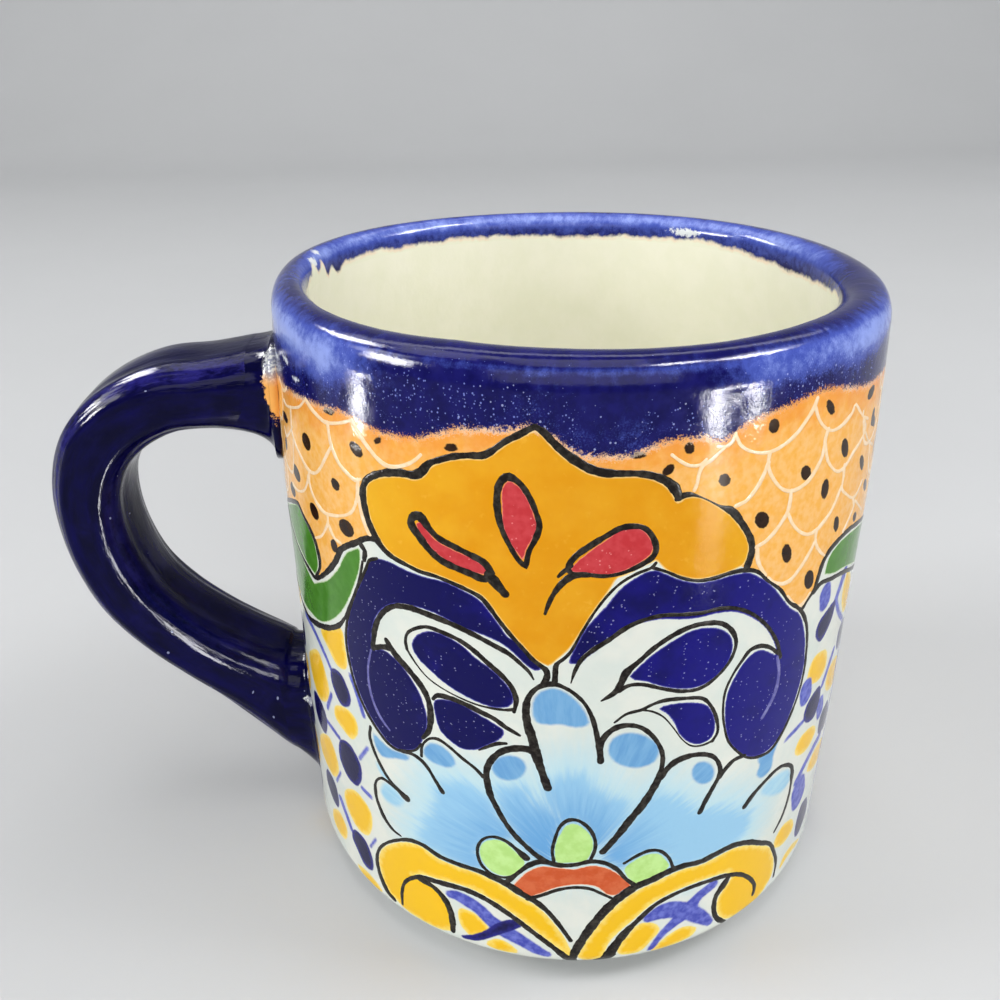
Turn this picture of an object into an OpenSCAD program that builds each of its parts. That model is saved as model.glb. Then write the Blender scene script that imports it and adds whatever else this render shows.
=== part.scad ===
// Clay drinking mug: a thick-walled, almost straight cup with a rounded lip
// and heel, a wide strap handle luted on with slip at two places, and the
// coats of glaze that cover them. Millimetres. The origin is on the cup's
// axis at the table, +Z is up and the handle points along -X.

/* [Cup] */
// Height from the table to the top of the lip
cup_h = 96; // [90:1:104]
// Largest outside radius of the glazed wall
cup_r = 44.6; // [43:0.2:47]
// How much the wall draws in on its way up to the lip
draw_in = 1.2; // [0.6:0.1:2]
// Radius of the flat foot that touches the table
foot_r = 33.4; // [31:0.2:36]
// Height of the rounded heel between the foot and the wall
heel_h = 5.8; // [4.4:0.2:7]
// Thickness of the wall with its glaze
wall_t = 4.6; // [4.2:0.1:5.6]
// Thickness of the floor with its glaze
floor_t = 6.8; // [5:0.1:9]
// Radius of the inside corner between wall and floor
floor_fillet = 8; // [5:0.5:10]
// Height of the outer curve of the lip
lip_h = 4.2; // [3.4:0.1:4.6]

/* [Glaze] */
// Thickness of every coat of glaze
glaze_t = 0.4; // [0.3:0.05:0.6]
// How far the blue band runs down the outside, from the top of the lip
band_outside = 8; // [6.5:0.5:8]
// How far the blue band runs down the inside, from the top of the lip
band_inside = 4; // [3.5:0.5:6]

/* [Handle] */
// Distance from the cup's axis to the middle of the strap at its widest reach
handle_reach = 74.6; // [70:0.2:80]
// Distance from the top of the lip down to the middle of the handle's upper end
handle_drop = 16.5; // [16.5:0.5:20]
// Height of the middle of the lower end of the handle
handle_low_z = 21; // [21:0.5:24]
// Width of the strap, side to side
handle_w = 16.4; // [14:0.2:18]
// Thickness of the strap at the middle of its bend, with its glaze
handle_t = 10.6; // [9:0.2:10.6]
// How round the strap's section is: 2 is an ellipse, more is squarer
strap_power = 2.8; // [2:0.1:4]

/* [Joints] */
// How far the slip joints stand out from the cup's wall
joint_out = 3; // [2.4:0.2:4]
// How far the slip spreads beyond the edge of the strap
joint_spread = 1; // [0.6:0.1:1.6]
// Corner radius of the slip joints
joint_corner = 5; // [4:0.5:6]

/* [Hidden] */
$fn = 96;

// Shares of the lip's thickness outside and inside its highest line
lip_o = wall_t * 0.6;
lip_i = wall_t * 0.4;
lip_in_h = lip_h * 0.62;
z_lip = cup_h - lip_h;
z_lip_in = cup_h - lip_in_h;
z_band = cup_h - band_outside;
z_band_in = cup_h - band_inside;
// The glaze is wiped off the heel below this step of its curve
heel_steps = 8;
wiped_steps = 3;

// Outside radius of the wall at height z, set in by d
function wall_s(z) = max(0, min(1, (z - heel_h) / (z_lip - heel_h)));
function wall_r(z, d) = cup_r - draw_in * pow(wall_s(z), 5) - d;
function inner_r(z, d) = cup_r - draw_in * pow(wall_s(z), 5) - wall_t + d;
function steps(a, b, n) = [for (i = [1:n]) a + (b - a) * i / n];

lip_c = wall_r(z_lip, 0) - lip_o;
floor_c = inner_r(floor_t + floor_fillet, 0) - floor_fillet;

// The cup's section in stretches, each set in by d from the glazed surface.
// Going up the outside, over the lip and down to the middle of the floor.
function heel(d, first) = [for (i = [first:heel_steps])
    let (a = 90 * i / heel_steps)
    [foot_r + (cup_r - d - foot_r) * sin(a), heel_h * (1 - cos(a))]];
function wall(d) = [for (z = steps(heel_h, z_band, 10)) [wall_r(z, d), z]];
function band(d) = [for (z = steps(z_band, z_lip, 2)) [wall_r(z, d), z]];
function lip(d) = concat(
    [for (a = steps(0, 90, 7)) [lip_c + (lip_o - d) * cos(a), z_lip + (lip_h - d) * sin(a)]],
    [for (a = steps(0, 90, 6)) [lip_c - (lip_i - d) * sin(a), z_lip_in + (lip_in_h - d) * cos(a)]]);
function inner_top(d) = [for (z = steps(z_lip_in, z_band_in, 2)) [inner_r(z, d), z]];
function inner_wall(d) = [for (z = steps(z_band_in, floor_t + floor_fillet, 8)) [inner_r(z, d), z]];
function inner_floor(d) = concat(
    [for (a = steps(0, 90, 6)) [floor_c + (floor_fillet + d) * cos(a), floor_t + floor_fillet - (floor_fillet + d) * sin(a)]],
    [[0, floor_t - d]]);
function flip(p) = [for (i = [len(p) - 1:-1:0]) p[i]];
function last(p) = p[len(p) - 1];

// The middle line of the strap: share of the reach, share of the height, and
// thickness as a share of handle_t, from the upper joint to the lower one
strap_line = [
    [0.00, 1.00, 1.22], [0.22, 1.00, 1.02], [0.46, 0.99, 1.02], [0.70, 0.94, 1.06],
    [0.88, 0.86, 1.06], [0.98, 0.75, 1.01], [1.00, 0.63, 0.98], [0.96, 0.51, 0.98],
    [0.87, 0.40, 1.00], [0.71, 0.30, 1.01], [0.51, 0.215, 1.02], [0.29, 0.13, 1.15],
    [0.10, 0.05, 1.50], [0.00, 0.00, 1.88]];
x_end = cup_r + joint_out;
handle_top_z = cup_h - handle_drop;
strap_n = len(strap_line) - 1;
rings_per_span = 3;
ring_n = strap_n * rings_per_span;
side_n = 24;

function strap_pt(i) = let (k = max(0, min(strap_n, i)), p = strap_line[k])
    [x_end + (handle_reach - x_end) * p[0], handle_low_z + (handle_top_z - handle_low_z) * p[1], handle_t / 2 * p[2]];
function smooth_at(p0, p1, p2, p3, t) = 0.5 * (2 * p1 + (p2 - p0) * t
    + (2 * p0 - 5 * p1 + 4 * p2 - p3) * t * t + (3 * p1 - p0 - 3 * p2 + p3) * t * t * t);
function strap_at(u) = let (i = min(strap_n - 1, floor(u)), t = u - i)
    smooth_at(strap_pt(i - 1), strap_pt(i), strap_pt(i + 1), strap_pt(i + 2), t);
// Direction across the strap's thickness: upright at both ends, square to the
// middle line in between
function strap_across(j) = let (
    u = j / rings_per_span,
    a = strap_at(max(0, u - 0.1)), b = strap_at(min(strap_n, u + 0.1)),
    d = [b[0] - a[0], b[1] - a[1]],
    n = [-d[1], d[0]] / norm(d),
    w = max(0, 1 - min(j, ring_n - j) / 8),
    up = j < ring_n / 2 ? [0, 1] : [0, -1],
    m = n * (1 - w) + up * w)
    m / norm(m);
function pow_sign(v) = sign(v) * pow(abs(v), 2 / strap_power);
function strap_ring(j, d) = let (
    c = strap_at(j / rings_per_span), m = strap_across(j),
    x = (j == 0 || j == ring_n) ? x_end : c[0])
    [for (k = [0:side_n - 1]) let (
        a = 360 * (k + 0.5) / side_n,
        s = (c[2] - d) * pow_sign(cos(a)),
        y = (handle_w / 2 - d) * pow_sign(sin(a)))
        [-max(x + m[0] * s, x_end + 0.15 * min(j, ring_n - j)), y, c[1] + m[1] * s]];
function strap_points(d) = [for (j = [0:ring_n]) each strap_ring(j, d)];
function ring_faces(at, out) = [for (j = [0:ring_n - 1], k = [0:side_n - 1]) let (
    a = at + j * side_n + k, b = at + j * side_n + (k + 1) % side_n, c = a + side_n, e = b + side_n)
    each out ? [[a, b, c], [b, e, c]] : [[a, c, b], [b, c, e]]];

// The part of the cup's clay inside its outer surface, with no hollow
module clay_outline() {
    rotate_extrude() polygon(concat([[0, 0]], heel(glaze_t, 0), wall(glaze_t), band(glaze_t), [[0, z_lip]]));
}

// Rounded plug for a slip joint, along X from the wall outward
module joint_plug(z, high) {
    w = handle_w + 2 * joint_spread;
    h = high + 2 * joint_spread;
    r = joint_corner;
    translate([-(cup_r - wall_t / 2), 0, z]) rotate([0, -90, 0])
        linear_extrude(height = wall_t / 2 + joint_out) {
            square([h - 2 * r, w], center = true);
            square([h, w - 2 * r], center = true);
            for (i = [-1, 1], j = [-1, 1]) translate([i * (h / 2 - r), j * (w / 2 - r)]) circle(r);
        }
}
module upper_plug() { joint_plug(handle_top_z, handle_t * strap_line[0][2]); }
module lower_plug() { joint_plug(handle_low_z, handle_t * strap_line[strap_n][2]); }

// Fired clay vessel, bare under the foot
module clay_cup() {
    color("#d9b98c") rotate_extrude() polygon(concat(
        [[0, 0]], heel(glaze_t, 0), wall(glaze_t), band(glaze_t), lip(glaze_t),
        inner_top(glaze_t), inner_wall(glaze_t), inner_floor(glaze_t)));
}

// Clay strap, flat at both ends where it meets the slip
module handle() {
    n = side_n;
    end = ring_n * n;
    color("#c9a878") polyhedron(strap_points(glaze_t), concat(
        ring_faces(0, true),
        [[for (k = [n - 1:-1:0]) k]],
        [[for (k = [0:n - 1]) end + k]]));
}

// Slip that lutes the handle's upper end to the wall
module upper_joint() {
    color("#10124a") difference() {
        upper_plug();
        clay_outline();
    }
}

// Slip that lutes the handle's lower end to the wall
module lower_joint() {
    color("#10124a") difference() {
        lower_plug();
        clay_outline();
    }
}

// Cream lining of the wall and floor
module inside_glaze() {
    color("#e4e1c8") rotate_extrude() polygon(concat(
        [last(inner_top(0))], inner_wall(0), inner_floor(0),
        flip(inner_floor(glaze_t)), flip(inner_wall(glaze_t)), [last(inner_top(glaze_t))]));
}

// White painted coat on the outside of the wall, open at the slip joints
module outside_glaze() {
    color("#f2b234") difference() {
        rotate_extrude() polygon(concat(
            heel(0, wiped_steps), wall(0), flip(wall(glaze_t)), flip(heel(glaze_t, wiped_steps))));
        upper_plug();
        lower_plug();
    }
}

// Blue coat over the lip
module rim_glaze() {
    color("#23289a") rotate_extrude() polygon(concat(
        [last(wall(0))], band(0), lip(0), inner_top(0),
        flip(inner_top(glaze_t)), flip(lip(glaze_t)), flip(band(glaze_t)), [last(wall(glaze_t))]));
}

// Dark blue coat round the strap
module handle_glaze() {
    n = side_n;
    m = (ring_n + 1) * n;
    end = ring_n * n;
    color("#0d0f52") polyhedron(concat(strap_points(0), strap_points(glaze_t)), concat(
        ring_faces(0, true), ring_faces(m, false),
        [for (k = [0:n - 1]) let (l = (k + 1) % n) each [[l, k, m + k], [l, m + k, m + l]]],
        [for (k = [0:n - 1]) let (l = (k + 1) % n) each [[end + k, end + l, m + end + k], [end + l, m + end + l, m + end + k]]]));
}

clay_cup();
handle();
upper_joint();
lower_joint();
inside_glaze();
outside_glaze();
rim_glaze();
handle_glaze();
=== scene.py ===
# Painted clay mug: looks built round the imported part. Lengths are in millimetres
# until a mesh is made, and in metres from there on.
import math
import re

import bpy
import numpy as np
from mathutils import Matrix


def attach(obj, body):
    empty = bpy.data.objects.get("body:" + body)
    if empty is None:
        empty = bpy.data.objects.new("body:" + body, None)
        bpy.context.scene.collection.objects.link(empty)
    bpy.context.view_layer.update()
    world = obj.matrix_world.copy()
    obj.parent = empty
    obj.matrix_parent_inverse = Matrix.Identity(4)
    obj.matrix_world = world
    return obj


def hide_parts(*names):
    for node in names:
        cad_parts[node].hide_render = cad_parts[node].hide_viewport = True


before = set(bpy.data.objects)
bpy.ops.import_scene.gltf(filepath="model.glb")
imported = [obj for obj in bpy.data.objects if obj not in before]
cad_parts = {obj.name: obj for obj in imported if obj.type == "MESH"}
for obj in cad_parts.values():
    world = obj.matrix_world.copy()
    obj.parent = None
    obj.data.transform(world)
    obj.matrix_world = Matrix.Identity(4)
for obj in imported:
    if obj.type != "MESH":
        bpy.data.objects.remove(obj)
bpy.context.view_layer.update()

MM = 0.001

# ---------------------------------------------------------------- the cup's surface
# A point on the cup is (u, v): u runs round the wall, measured at radius R0, from the
# middle of the painted face toward +X. v runs up the heel and wall from the foot's
# edge, over the lip and down inside to the middle of the floor.
R0 = 44.6
HALF = math.pi * R0
CUP_H = 96.0
WALL = 4.6
FLOOR = 6.8
ZK = np.array([5.76, 13.44, 28.8, 48.0, 69.12, 91.8])
RK = np.array([44.64, 44.62, 44.72, 44.48, 44.36, 43.40])


def knot_slopes():
    d = np.diff(RK) / np.diff(ZK)
    m = np.empty(len(RK))
    m[1:-1] = (d[:-1] + d[1:]) / 2
    m[0], m[-1] = 0.0, d[-1] * 1.3
    return m


MK = knot_slopes()


def wall_r(z):
    z = np.asarray(z, float)
    i = np.clip(np.searchsorted(ZK, z) - 1, 0, len(ZK) - 2)
    h = ZK[i + 1] - ZK[i]
    t = np.clip((z - ZK[i]) / h, 0, 1)
    return (RK[i] * (2 * t**3 - 3 * t**2 + 1) + h * MK[i] * (t**3 - 2 * t**2 + t)
            + RK[i + 1] * (-2 * t**3 + 3 * t**2) + h * MK[i + 1] * (t**3 - t**2))


def cup_profile():
    p, q = [], math.pi / 2
    a = np.linspace(0, q, 60)
    p += list(zip(33.3 + (RK[0] - 33.3) * np.sin(a), ZK[0] * (1 - np.cos(a))))
    z = np.linspace(ZK[0], 91.8, 300)[1:]
    p += list(zip(wall_r(z), z))
    c = RK[-1] - 2.8
    a = a[1:]
    p += list(zip(c + 2.8 * np.cos(a), 91.8 + 4.2 * np.sin(a)))
    p += list(zip(c - 1.8 * np.sin(a), 93.4 + 2.6 * np.cos(a)))
    z = np.linspace(93.4, 14.8, 250)[1:]
    p += list(zip(wall_r(z) - WALL, z))
    f = float(wall_r(14.8)) - WALL - 8.0
    p += list(zip(f + 8 * np.cos(a), 14.8 - 8 * np.sin(a)))
    r = np.linspace(f, 0, 60)[1:]
    p += list(zip(r, FLOOR + 0 * r))
    p = np.array(p)
    return p, np.r_[0, np.cumsum(np.hypot(*np.diff(p, axis=0).T))]


PROF, ARC = cup_profile()
V_GLAZE = 5.84      # the glaze starts here on the heel
V_BAND = 96.05      # the rim coat starts here on the outside (z = 88)
V_LIP = 105.41      # highest line of the lip
V_IN = 110.47       # the rim coat ends here inside (z = 92)
V_END = float(ARC[-1])


def deform(r, z, th):
    """The small unevenness of a cup made by hand."""
    f = th + math.radians(6.0)
    w = np.clip(z / CUP_H, 0, 1)
    k = 1 + w * (-.00728 * np.cos(2 * f) + .00786 * np.sin(2 * f) + .01374 * np.cos(3 * f)
                 - .00074 * np.sin(3 * f) - .00346 * np.cos(4 * f) - .00776 * np.sin(4 * f))
    rr = r * k
    return np.stack([rr * np.sin(th), -rr * np.cos(th),
                     z + w * (.0143 * np.cos(f) - .0021 * np.sin(f)) * rr], -1)


# The lip swells inward over the wall and stands a little higher in front
SWELL_AT = np.radians([-180, -130, -95, -62, -40, -25, -8, 8, 20, 40, 65, 95, 130, 180])
SWELL = np.array([0.9, 0.5, 0.15, 0.5, 1.05, 1.35, 1.2, 1.0, 0.85, 0.85, 1.1, 1.25, 1.0, 0.9])
RISE = np.array([0.0, 0.0, 0.0, 0.0, 0.26, 0.58, 0.50, 0.30, 0.25, 0.36, 0.0, 0.0, 0.0, 0.0])


def ease(x):
    x = np.clip(x, 0, 1)
    return x * x * (3 - 2 * x)


def round_rim(u, table):
    return np.interp((np.asarray(u) / R0 + math.pi) % (2 * math.pi) - math.pi, SWELL_AT, table)


def point(u, v):
    r, z = np.interp(v, ARC, PROF[:, 0]), np.interp(v, ARC, PROF[:, 1])
    r = r - 1.9 * ease((v - 103.0) / 5.0) * (1 - ease((v - 111.4) / 22.0)) * round_rim(u, SWELL)
    return deform(r, z + ease((z - 87.0) / 8.0) * round_rim(u, RISE), np.asarray(u) / R0)


def normal(u, v):
    e = 0.05
    lo, hi = np.clip(v - e, 0, V_END), np.clip(v + e, 0, V_END)
    n = np.cross(point(u + e, v) - point(u - e, v), point(u, hi) - point(u, lo))
    return n / np.maximum(np.linalg.norm(n, axis=-1, keepdims=True), 1e-12)


# ---------------------------------------------------------------- the painted ornament
# Outlines are drawn with a few points each, as u,v in millimetres. A star makes a
# corner and :w gives a brush line's width. The face is painted twice round the cup.
INK = {
    'mantle_l': "-8.32,97.21*:0.67 -9.09,96.83:0.78 -10.00,96.30:0.78 -11.61,95.41:0.77 -13.35,94.00:0.83 -14.24,93.50:0.92 -15.69,93.33:0.82 -17.72,92.93:0.81 -19.47,92.24:0.80 -20.87,91.53:0.90 -21.94,90.29:1.19 -23.01,89.68:1.15 -24.76,89.57:1.06 -27.08,89.00:1.03 -29.10,88.12:0.94 -30.62,86.93:0.97 -31.12,85.76:1.20 -31.24,84.29:1.29 -30.94,82.94:1.24 -30.52,81.62:1.21 -29.94,80.54:1.21 -29.23,79.50:1.19 -28.03,78.41:0.97 -26.59,77.79:0.76 -24.74,77.42:0.64 -22.74,77.03:0.58 -20.61,76.96:0.57 -18.38,76.54:0.57 -16.43,76.00:0.60 -14.71,75.25:0.66 -13.60,73.94:0.65 -12.67,72.57:0.62 -11.21,70.58:0.59 -9.54,68.55:0.59 -8.41,67.12:0.62 -7.44,66.30:0.71 -6.76,65.60:0.84 -6.72,64.54:0.85 -7.18,63.50:0.75",
    'mantle_r': "-8.32,97.21*:0.68 -7.43,96.71:0.79 -6.43,95.69:0.90 -5.23,94.57:1.02 -3.75,93.47:1.08 -2.17,92.53:1.15 -0.63,92.05:1.05 1.07,91.89:0.88 3.15,91.77:0.82 4.92,91.36:0.92 6.37,90.68:1.11 7.51,89.64:1.22 8.14,88.44:1.01",
    'mantle_r2': "7.87,88.26:0.66 8.57,88.57:0.78 9.42,88.62:0.73 10.18,88.39:0.41 10.78,88.11:0.23 11.81,87.54:0.20 12.82,86.89:0.23 13.64,86.39:0.46 14.73,85.83:0.97 15.58,85.06:0.98 16.36,84.05:0.95 17.65,82.15:0.87 18.38,80.54:0.97 18.43,79.09:1.12 18.03,77.65:1.16",
    'red_c@': "-11.36,91.29:1.02 -10.05,90.65:0.79 -8.93,89.06:0.70 -8.10,87.05:0.69 -7.73,85.44:0.73 -8.23,83.68:0.74 -8.91,82.16:0.63 -9.27,80.12*:0.71 -10.06,80.86:0.70 -11.11,82.64:0.62 -12.05,84.71:0.73 -12.54,87.05:0.89 -12.52,89.44:0.92 -12.17,90.56:0.89",
    'red_l@': "-23.55,83.99:1.14 -22.95,84.53:1.11 -22.19,84.45:1.39 -21.21,83.31:1.00 -19.98,82.29:0.89 -18.01,81.58:0.86 -15.93,80.86:0.85 -14.17,80.05:0.97 -13.34,78.84*:0.97 -14.14,77.91:1.00 -15.99,78.33:1.00 -17.88,78.77:0.95 -19.76,79.37:0.99 -21.29,80.45:1.03 -22.61,81.91:1.12 -23.59,83.12:1.28",
    'red_l_tail': "-13.64,78.53:1.37 -13.05,77.80:1.36 -12.57,77.19:1.29 -11.74,76.21:1.09",
    'red_r@': "-4.42,80.24:0.69 -3.65,81.69:0.85 -1.87,83.16:0.82 -0.05,84.38:0.76 1.71,85.30:0.77 3.97,85.16:0.72 5.07,84.11:0.68 5.74,82.27:0.82 5.43,81.28:0.81 3.90,80.25:0.68 1.71,79.37:0.54 -0.22,79.11:0.53 -2.68,79.43:0.66 -3.95,79.46:0.64",
    'red_r_tail': "-2.00,79.31:0.66 -3.83,79.19:0.92 -5.07,78.17:0.86 -6.15,76.44:0.66 -6.72,74.89:0.53 -7.00,73.90:0.35",
    'red_r_spur': "-4.08,80.51:0.62 -5.10,79.56:0.55 -5.50,79.07:0.37",
    'scroll_l_out': "-29.40,76.75:0.44 -30.89,75.93:0.51 -31.47,74.77:0.52 -32.79,72.32:0.46 -34.84,68.65:0.50 -36.96,63.83:0.61 -37.73,59.96:0.68 -37.26,56.16:0.70 -36.44,53.48:0.74 -34.81,50.70:0.72 -33.18,48.89:0.74 -31.59,47.53:0.70 -30.02,46.60:0.64 -28.47,46.42:0.60 -26.94,46.94:0.48 -25.18,48.02:0.41 -24.24,49.45:0.40",
    'scroll_l_in': "-31.66,62.18:0.91 -31.04,65.16:1.00 -30.07,67.49:0.85 -28.53,69.52:0.76 -26.89,70.71:0.82 -24.68,71.26:0.93 -22.20,71.15:0.97 -19.23,70.74:0.88 -16.22,69.90:0.82 -13.32,68.67:0.77 -11.42,67.70:0.72 -9.88,66.32:0.58 -8.90,65.26:0.45 -8.34,64.17:0.27",
    'oval_ul': "-10.82,58.75:0.50 -10.62,59.73:0.63 -10.53,60.81:0.72 -11.13,62.71:0.71 -12.35,64.25:0.76 -14.11,65.85:0.79 -15.88,67.38:0.74 -17.69,68.44:0.72 -20.15,69.04:0.69 -22.13,69.18:0.60 -23.83,68.42:0.50 -25.23,67.18:0.46 -25.63,65.83:0.54 -25.48,64.56:0.52",
    'oval_ul_b': "-25.48,64.56:0.44 -24.22,62.82:0.32 -22.61,61.26:0.27 -20.60,60.25:0.26 -18.05,59.45:0.28 -15.21,58.88:0.34 -11.89,58.88:0.48 -10.81,59.15:0.62",
    'oval_l_top': "-31.44,62.28:0.70 -30.04,63.11:0.87 -28.74,63.56:1.07",
    'oval_l': "-28.90,64.61:0.89 -28.20,63.71:1.21 -27.41,62.80:1.22 -25.67,61.48:1.17 -23.99,59.88:1.12 -23.00,58.41:1.03 -22.47,56.54:0.99 -22.49,54.21:1.05 -22.92,52.15:0.82 -23.89,50.64:0.53",
    'oval_lr': "-21.91,57.95:0.52 -21.30,58.73:0.75 -19.46,58.95:0.86 -17.11,58.52:0.87 -15.23,57.87:0.86 -13.39,57.16:0.78 -11.93,56.08:0.69 -11.10,55.62:0.66 -10.12,55.05:0.49",
    'oval_lr_b': "-11.90,53.42:0.49 -13.09,53.15:0.62 -14.61,52.19:0.53 -15.57,51.49:0.29",
    'scroll_r_out': "5.35,79.84*:0.44 7.10,79.08:0.43 9.24,77.88:0.44 11.20,77.19:0.47 13.41,77.08:0.58 15.90,77.31:0.65 18.09,77.09:0.67 19.95,76.22:0.55 21.47,74.70:0.49 24.05,72.40:0.51 26.00,69.93:0.52 28.79,67.52:0.69 30.75,64.55:0.65 31.74,61.38:0.62 32.15,58.61:0.59 32.34,56.35:0.60 31.87,52.79:0.59 30.76,49.91:0.67 28.90,46.86:0.77 26.75,44.99:0.73 24.41,45.06:0.58 22.10,46.01:0.44 20.11,47.97:0.40 18.35,50.42:0.38 17.42,53.14:0.38 16.84,56.38:0.39 16.93,59.46:0.44 17.93,61.89:0.49 19.11,63.56:0.61 20.09,64.64:0.81 21.56,64.76:0.72 23.40,63.93:0.59 25.50,62.03:0.59",
    'scroll_r_out2': "5.80,80.38:0.41 5.35,79.84:0.47 3.70,79.24:0.41 1.99,78.27:0.41 0.68,77.02:0.39 -0.99,74.60:0.38 -2.65,71.34:0.38 -3.97,68.43:0.44 -4.79,67.43:0.53 -5.56,66.65:0.68 -5.69,65.21:0.73 -5.75,63.71:0.73",
    'scroll_r_in': "-3.76,63.90:0.19 -3.32,65.72:0.50 -2.55,67.46:0.66 -1.40,68.68:0.70 0.73,70.28:0.71 2.66,71.81:0.70 4.63,72.68:0.66 7.07,73.06:0.61 9.62,72.75:0.57 12.03,72.50:0.59 14.53,72.52:0.59 16.71,72.06:0.56 19.40,70.53:0.52 22.56,67.47:0.54 24.91,63.97:0.61 26.02,61.23:0.66",
    'oval_ur': "0.07,61.07:0.30 1.67,62.26:0.89 2.44,63.72:0.96 2.98,65.19:1.08 4.55,66.77:0.75 6.32,68.49:0.77 8.75,70.04:0.79 11.07,70.80:0.78 13.32,70.77:0.73 15.24,70.17:0.72 16.86,68.60:0.70 17.67,66.60:0.62 17.14,64.22:0.56 15.38,62.17:0.57 13.10,60.94:0.63 10.55,61.08:0.62 7.82,62.03:0.58 5.17,63.11:0.60 3.49,63.20:0.63 2.19,62.54:0.78",
    'drop_lr': "1.86,57.51:0.31 3.29,58.70:0.49 5.40,59.17:0.53 6.23,59.61:0.50 7.95,60.10:0.66 10.65,59.90:0.63 13.51,59.16:0.56 14.88,57.56:0.52 16.01,55.02:0.56 16.36,52.70:0.50 15.71,51.53:0.58",
    'drop_lr_b': "5.40,59.08:0.38 6.62,58.66:0.34 8.12,57.58:0.26 9.60,55.56:0.21 11.19,53.03:0.21 12.63,51.62:0.27 14.29,51.28:0.39 15.71,51.53:0.54",
    'pet_c_l': "-5.59,63.64:0.77 -6.81,63.52:0.82 -7.99,62.81:0.74 -8.94,61.38:0.81 -9.30,59.43:1.00 -9.13,57.20:1.18 -8.50,54.76:1.26 -7.96,52.04:1.34 -7.21,49.29:1.09 -6.46,46.65:1.16",
    'pet_c_r': "-6.93,63.60:0.85 -5.59,63.61:0.77 -4.35,63.04:0.59 -3.36,62.29:0.56 -1.98,60.65:0.52 -0.97,58.32:0.63 -0.31,55.51:0.76 0.12,53.16:0.89 0.29,51.25:0.96",
    'pet_l': "-8.14,52.75:1.51 -9.30,52.94:1.26 -10.31,52.89:1.13 -12.16,52.21:1.03 -13.69,50.58:0.99 -14.56,48.45:0.92 -14.57,46.61:1.00 -14.13,44.01:1.00 -13.57,42.65:0.87 -12.44,40.11:0.82 -10.92,37.59:0.85 -9.38,35.76:0.87 -7.84,34.12:0.89 -6.50,33.18:0.91",
    'pet_r': "0.25,51.50:0.77 0.20,53.82:0.79 0.82,55.54:0.97 2.14,56.67:0.91 3.71,56.87:0.80 5.32,56.28:0.71 6.82,54.79:0.65 7.98,52.81:0.64 8.51,51.16:0.67 8.53,49.09:0.79 8.12,47.07:1.10 7.18,44.87:1.24 6.03,42.68:1.27 4.66,40.70:1.23 3.30,38.38:1.15 1.92,36.26:0.99 1.13,35.11:0.99",
    'fan_l_a': "-24.30,47.32:0.54 -24.06,49.25:0.42 -22.76,51.00:0.42 -21.45,51.39:0.57 -19.80,50.68:0.58 -18.00,49.37:0.57 -16.25,48.22:0.59 -15.10,47.06:0.71",
    'fan_l_a2': "-27.96,46.56:0.64 -25.72,46.94:0.69 -24.34,46.51:0.75 -23.40,45.68:0.68 -22.23,43.84:0.65 -21.21,42.21:0.80",
    'fan_l_b': "-33.69,47.66:0.61 -34.04,45.74:0.74 -33.34,43.58:0.79 -32.08,41.48:0.80 -30.78,39.97:0.73 -29.33,39.01:0.81 -27.74,38.10:1.30",
    'fan_l_c': "-33.77,34.41:0.73 -33.81,36.55:0.64 -33.26,38.08:0.44 -31.99,39.17:0.58 -30.31,39.07:0.71 -28.74,38.61:0.88 -27.49,38.05:1.28",
    'fan_l_c2': "-33.77,36.58:0.70 -33.83,34.69:0.79 -33.27,32.82:0.90 -32.26,30.93:0.96 -30.65,29.70:0.73 -29.27,29.49:0.38",
    'fan_r_a': "8.53,47.24:0.84 9.29,48.64:1.07 10.52,49.64:1.13 12.48,50.00:0.94 14.33,49.69:0.80 16.07,48.70:0.68 17.20,46.93:0.70 17.51,45.19:0.85 16.60,43.11:0.85 15.57,41.02:0.91 14.89,39.25:0.97",
    'fan_r_b': "17.51,44.57:0.88 18.56,45.86:0.91 19.76,46.69:0.77 21.51,46.63:0.70",
    'fan_r_c': "22.89,36.68:1.17 24.22,38.07:1.04 26.49,39.40:0.89 29.06,40.17:0.82 30.97,39.71:0.70 33.02,38.08:0.78 33.57,36.36:1.13 33.81,34.37:0.76 33.74,31.32:0.81 32.80,28.22:0.90 31.21,26.19:0.61",
    'lime_l': "-9.33,33.43:1.25 -10.75,34.96:0.74 -12.30,36.21:0.63 -13.88,36.46:0.56 -15.30,35.63:0.47 -16.17,33.86:0.48 -16.23,32.03:0.56 -15.66,30.24:0.58 -14.25,29.01:0.56 -12.42,28.82:0.50 -11.00,29.62:0.36",
    'lime_c': "-5.51,33.35:0.50 -5.75,35.17:0.49 -5.40,37.59:0.49 -4.72,39.96:0.51 -3.72,41.08:0.69 -2.55,41.14:0.62 -1.08,39.88:0.59 -0.11,37.85:0.54 0.06,35.82:0.55 -0.55,33.54:0.52",
    'lime_r': "4.21,32.49:0.51 5.87,33.59:0.61 7.59,34.23:0.71 9.18,33.81:0.57 10.68,32.01:0.50 11.47,29.89:0.56",
    'brick_t': "-12.23,27.87:0.91 -10.39,30.33:0.71 -8.62,32.34:0.94 -7.07,33.07:1.10 -4.66,32.57:0.90 -2.57,32.74:0.82 -0.49,33.35:0.82 1.42,32.92:0.83 3.17,31.51:0.72 4.57,29.34:0.64 6.29,27.43:0.72",
    'brick_b': "-9.08,25.18:0.85 -7.04,26.34:0.71 -5.09,27.52:0.66 -3.14,28.13:0.65 -1.82,28.18:0.65 -0.33,27.85:0.61 0.99,26.96:0.57 2.63,25.73:0.46",
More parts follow.
